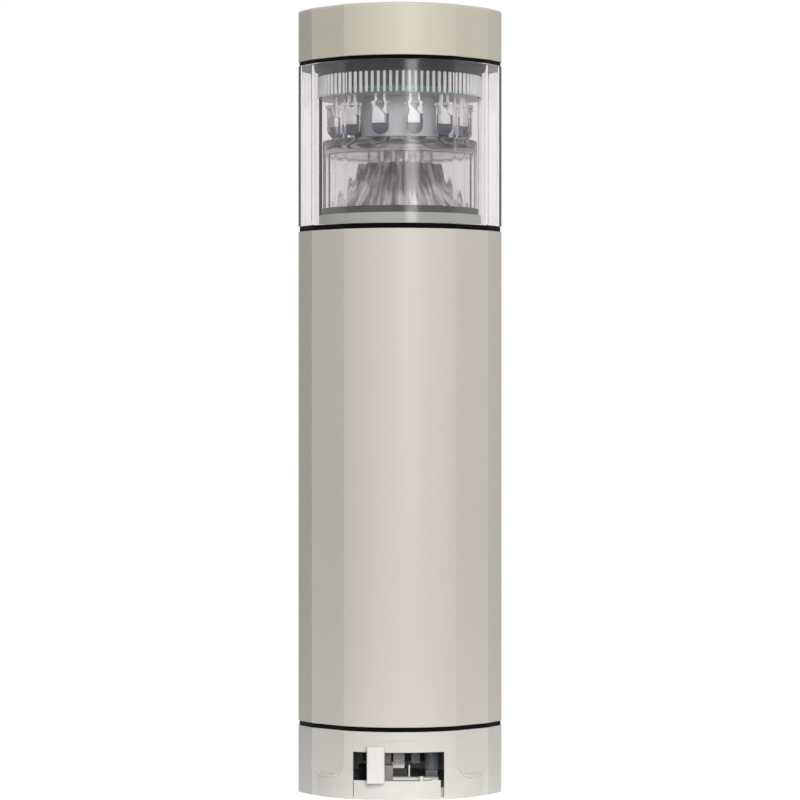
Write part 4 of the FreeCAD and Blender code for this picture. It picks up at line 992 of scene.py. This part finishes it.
def make_floor():
    """A round pale board that keeps the shadow and runs out into the white behind it."""
    under = -0.2 * MM
    floor = lathe("floor", [(reach * MM, under) for reach in (0.5, 50, 120, 300, 600)], 96, (), closed=False)
    material = bpy.data.materials.new("board_painted_white")
    tree = bare_tree(material)
    where = add(tree, "ShaderNodeTexCoord").outputs["Object"]
    # clouds of 25 mm in the paint: hardly seen, as in a rolled coat
    grain = add(tree, "ShaderNodeTexNoise", inputs={"Scale": 1 / (25 * MM), "Detail": 3.0, "Vector": where})
    stops = ((0.0, linear("#F4F4F3")), (1.0, linear("#F7F7F6")))
    paint = add(tree, "ShaderNodeBsdfDiffuse", inputs={
        "Color": add(tree, "ShaderNodeValToRGB", {"stops": stops}, {"Fac": grain})})
    # where it is looked at, straight, in gloss or through glass, it is nearly white
    rays = add(tree, "ShaderNodeLightPath").outputs
    seen = add(tree, "ShaderNodeMath", {"operation": "MAXIMUM"},
               {0: rays["Is Camera Ray"], 1: rays["Is Glossy Ray"]})
    bright = add(tree, "ShaderNodeMath", {"operation": "MAXIMUM"}, {0: seen, 1: rays["Is Transmission Ray"]})
    level = add(tree, "ShaderNodeMath", {"operation": "MULTIPLY"}, {0: bright, 1: 0.8})
    glow = add(tree, "ShaderNodeEmission", inputs={"Color": linear("#FFFFFF"), "Strength": level})
    both = add(tree, "ShaderNodeAddShader", inputs={0: paint, 1: glow})
    # it is solid round the foot and clear from 130 mm out
    far = add(tree, "ShaderNodeVectorMath", {"operation": "LENGTH"}, {"Vector": where}).outputs["Value"]
    fade = add(tree, "ShaderNodeMapRange", {"interpolation_type": "SMOOTHSTEP"},
               {"Value": far, "From Min": 0.033, "From Max": 0.13})
    clear = add(tree, "ShaderNodeBsdfTransparent")
    mixed = add(tree, "ShaderNodeMixShader", inputs={0: fade, 1: both, 2: clear})
    add(tree, "ShaderNodeOutputMaterial", inputs={"Surface": mixed})
    floor.data.materials.append(material)
    return floor


class TOWER_OT_materials(bpy.types.Operator):
    """Makes every finish of the tower"""
    bl_idname = "tower.materials"
    bl_label = "Finishes"

    def execute(self, context):
        make_materials()
        return {"FINISHED"}


class TOWER_PT_panel(bpy.types.Panel):
    """The tower's sizes, colours and makers"""
    bl_idname = "TOWER_PT_panel"
    bl_label = "Signal Tower"
    bl_space_type = "VIEW_3D"
    bl_region_type = "UI"
    bl_category = "Signal Tower"

    def draw(self, context):
        for group in (context.scene.tower_sizes, context.scene.tower_colours):
            box = self.layout.box()
            for name in group.__annotations__:
                box.prop(group, name)
        for operator in OPERATORS:
            self.layout.operator(operator.bl_idname)


OPERATORS = (TOWER_OT_materials, TOWER_OT_housings, TOWER_OT_seals, TOWER_OT_lens, TOWER_OT_lamps,
             TOWER_OT_optic, TOWER_OT_crown, TOWER_OT_latch, TOWER_OT_inside, TOWER_OT_stage)
CLASSES = (TowerSizes, TowerColours) + OPERATORS + (TOWER_PT_panel,)


def register():
    """Registers the classes and hangs the two property groups on the scene."""
    for item in CLASSES:
        bpy.utils.register_class(item)
    bpy.types.Scene.tower_sizes = bpy.props.PointerProperty(type=TowerSizes)
    bpy.types.Scene.tower_colours = bpy.props.PointerProperty(type=TowerColours)


def unregister():
    """Takes them away again."""
    del bpy.types.Scene.tower_colours
    del bpy.types.Scene.tower_sizes
    for item in reversed(CLASSES):
        bpy.utils.unregister_class(item)


def main():
    """Makes the whole tower."""
    register()
    for operator in OPERATORS:
        group, name = operator.bl_idname.split(".")
        getattr(getattr(bpy.ops, group), name)()
    bpy.context.view_layer.update()


if __name__ == "__main__":
    main()
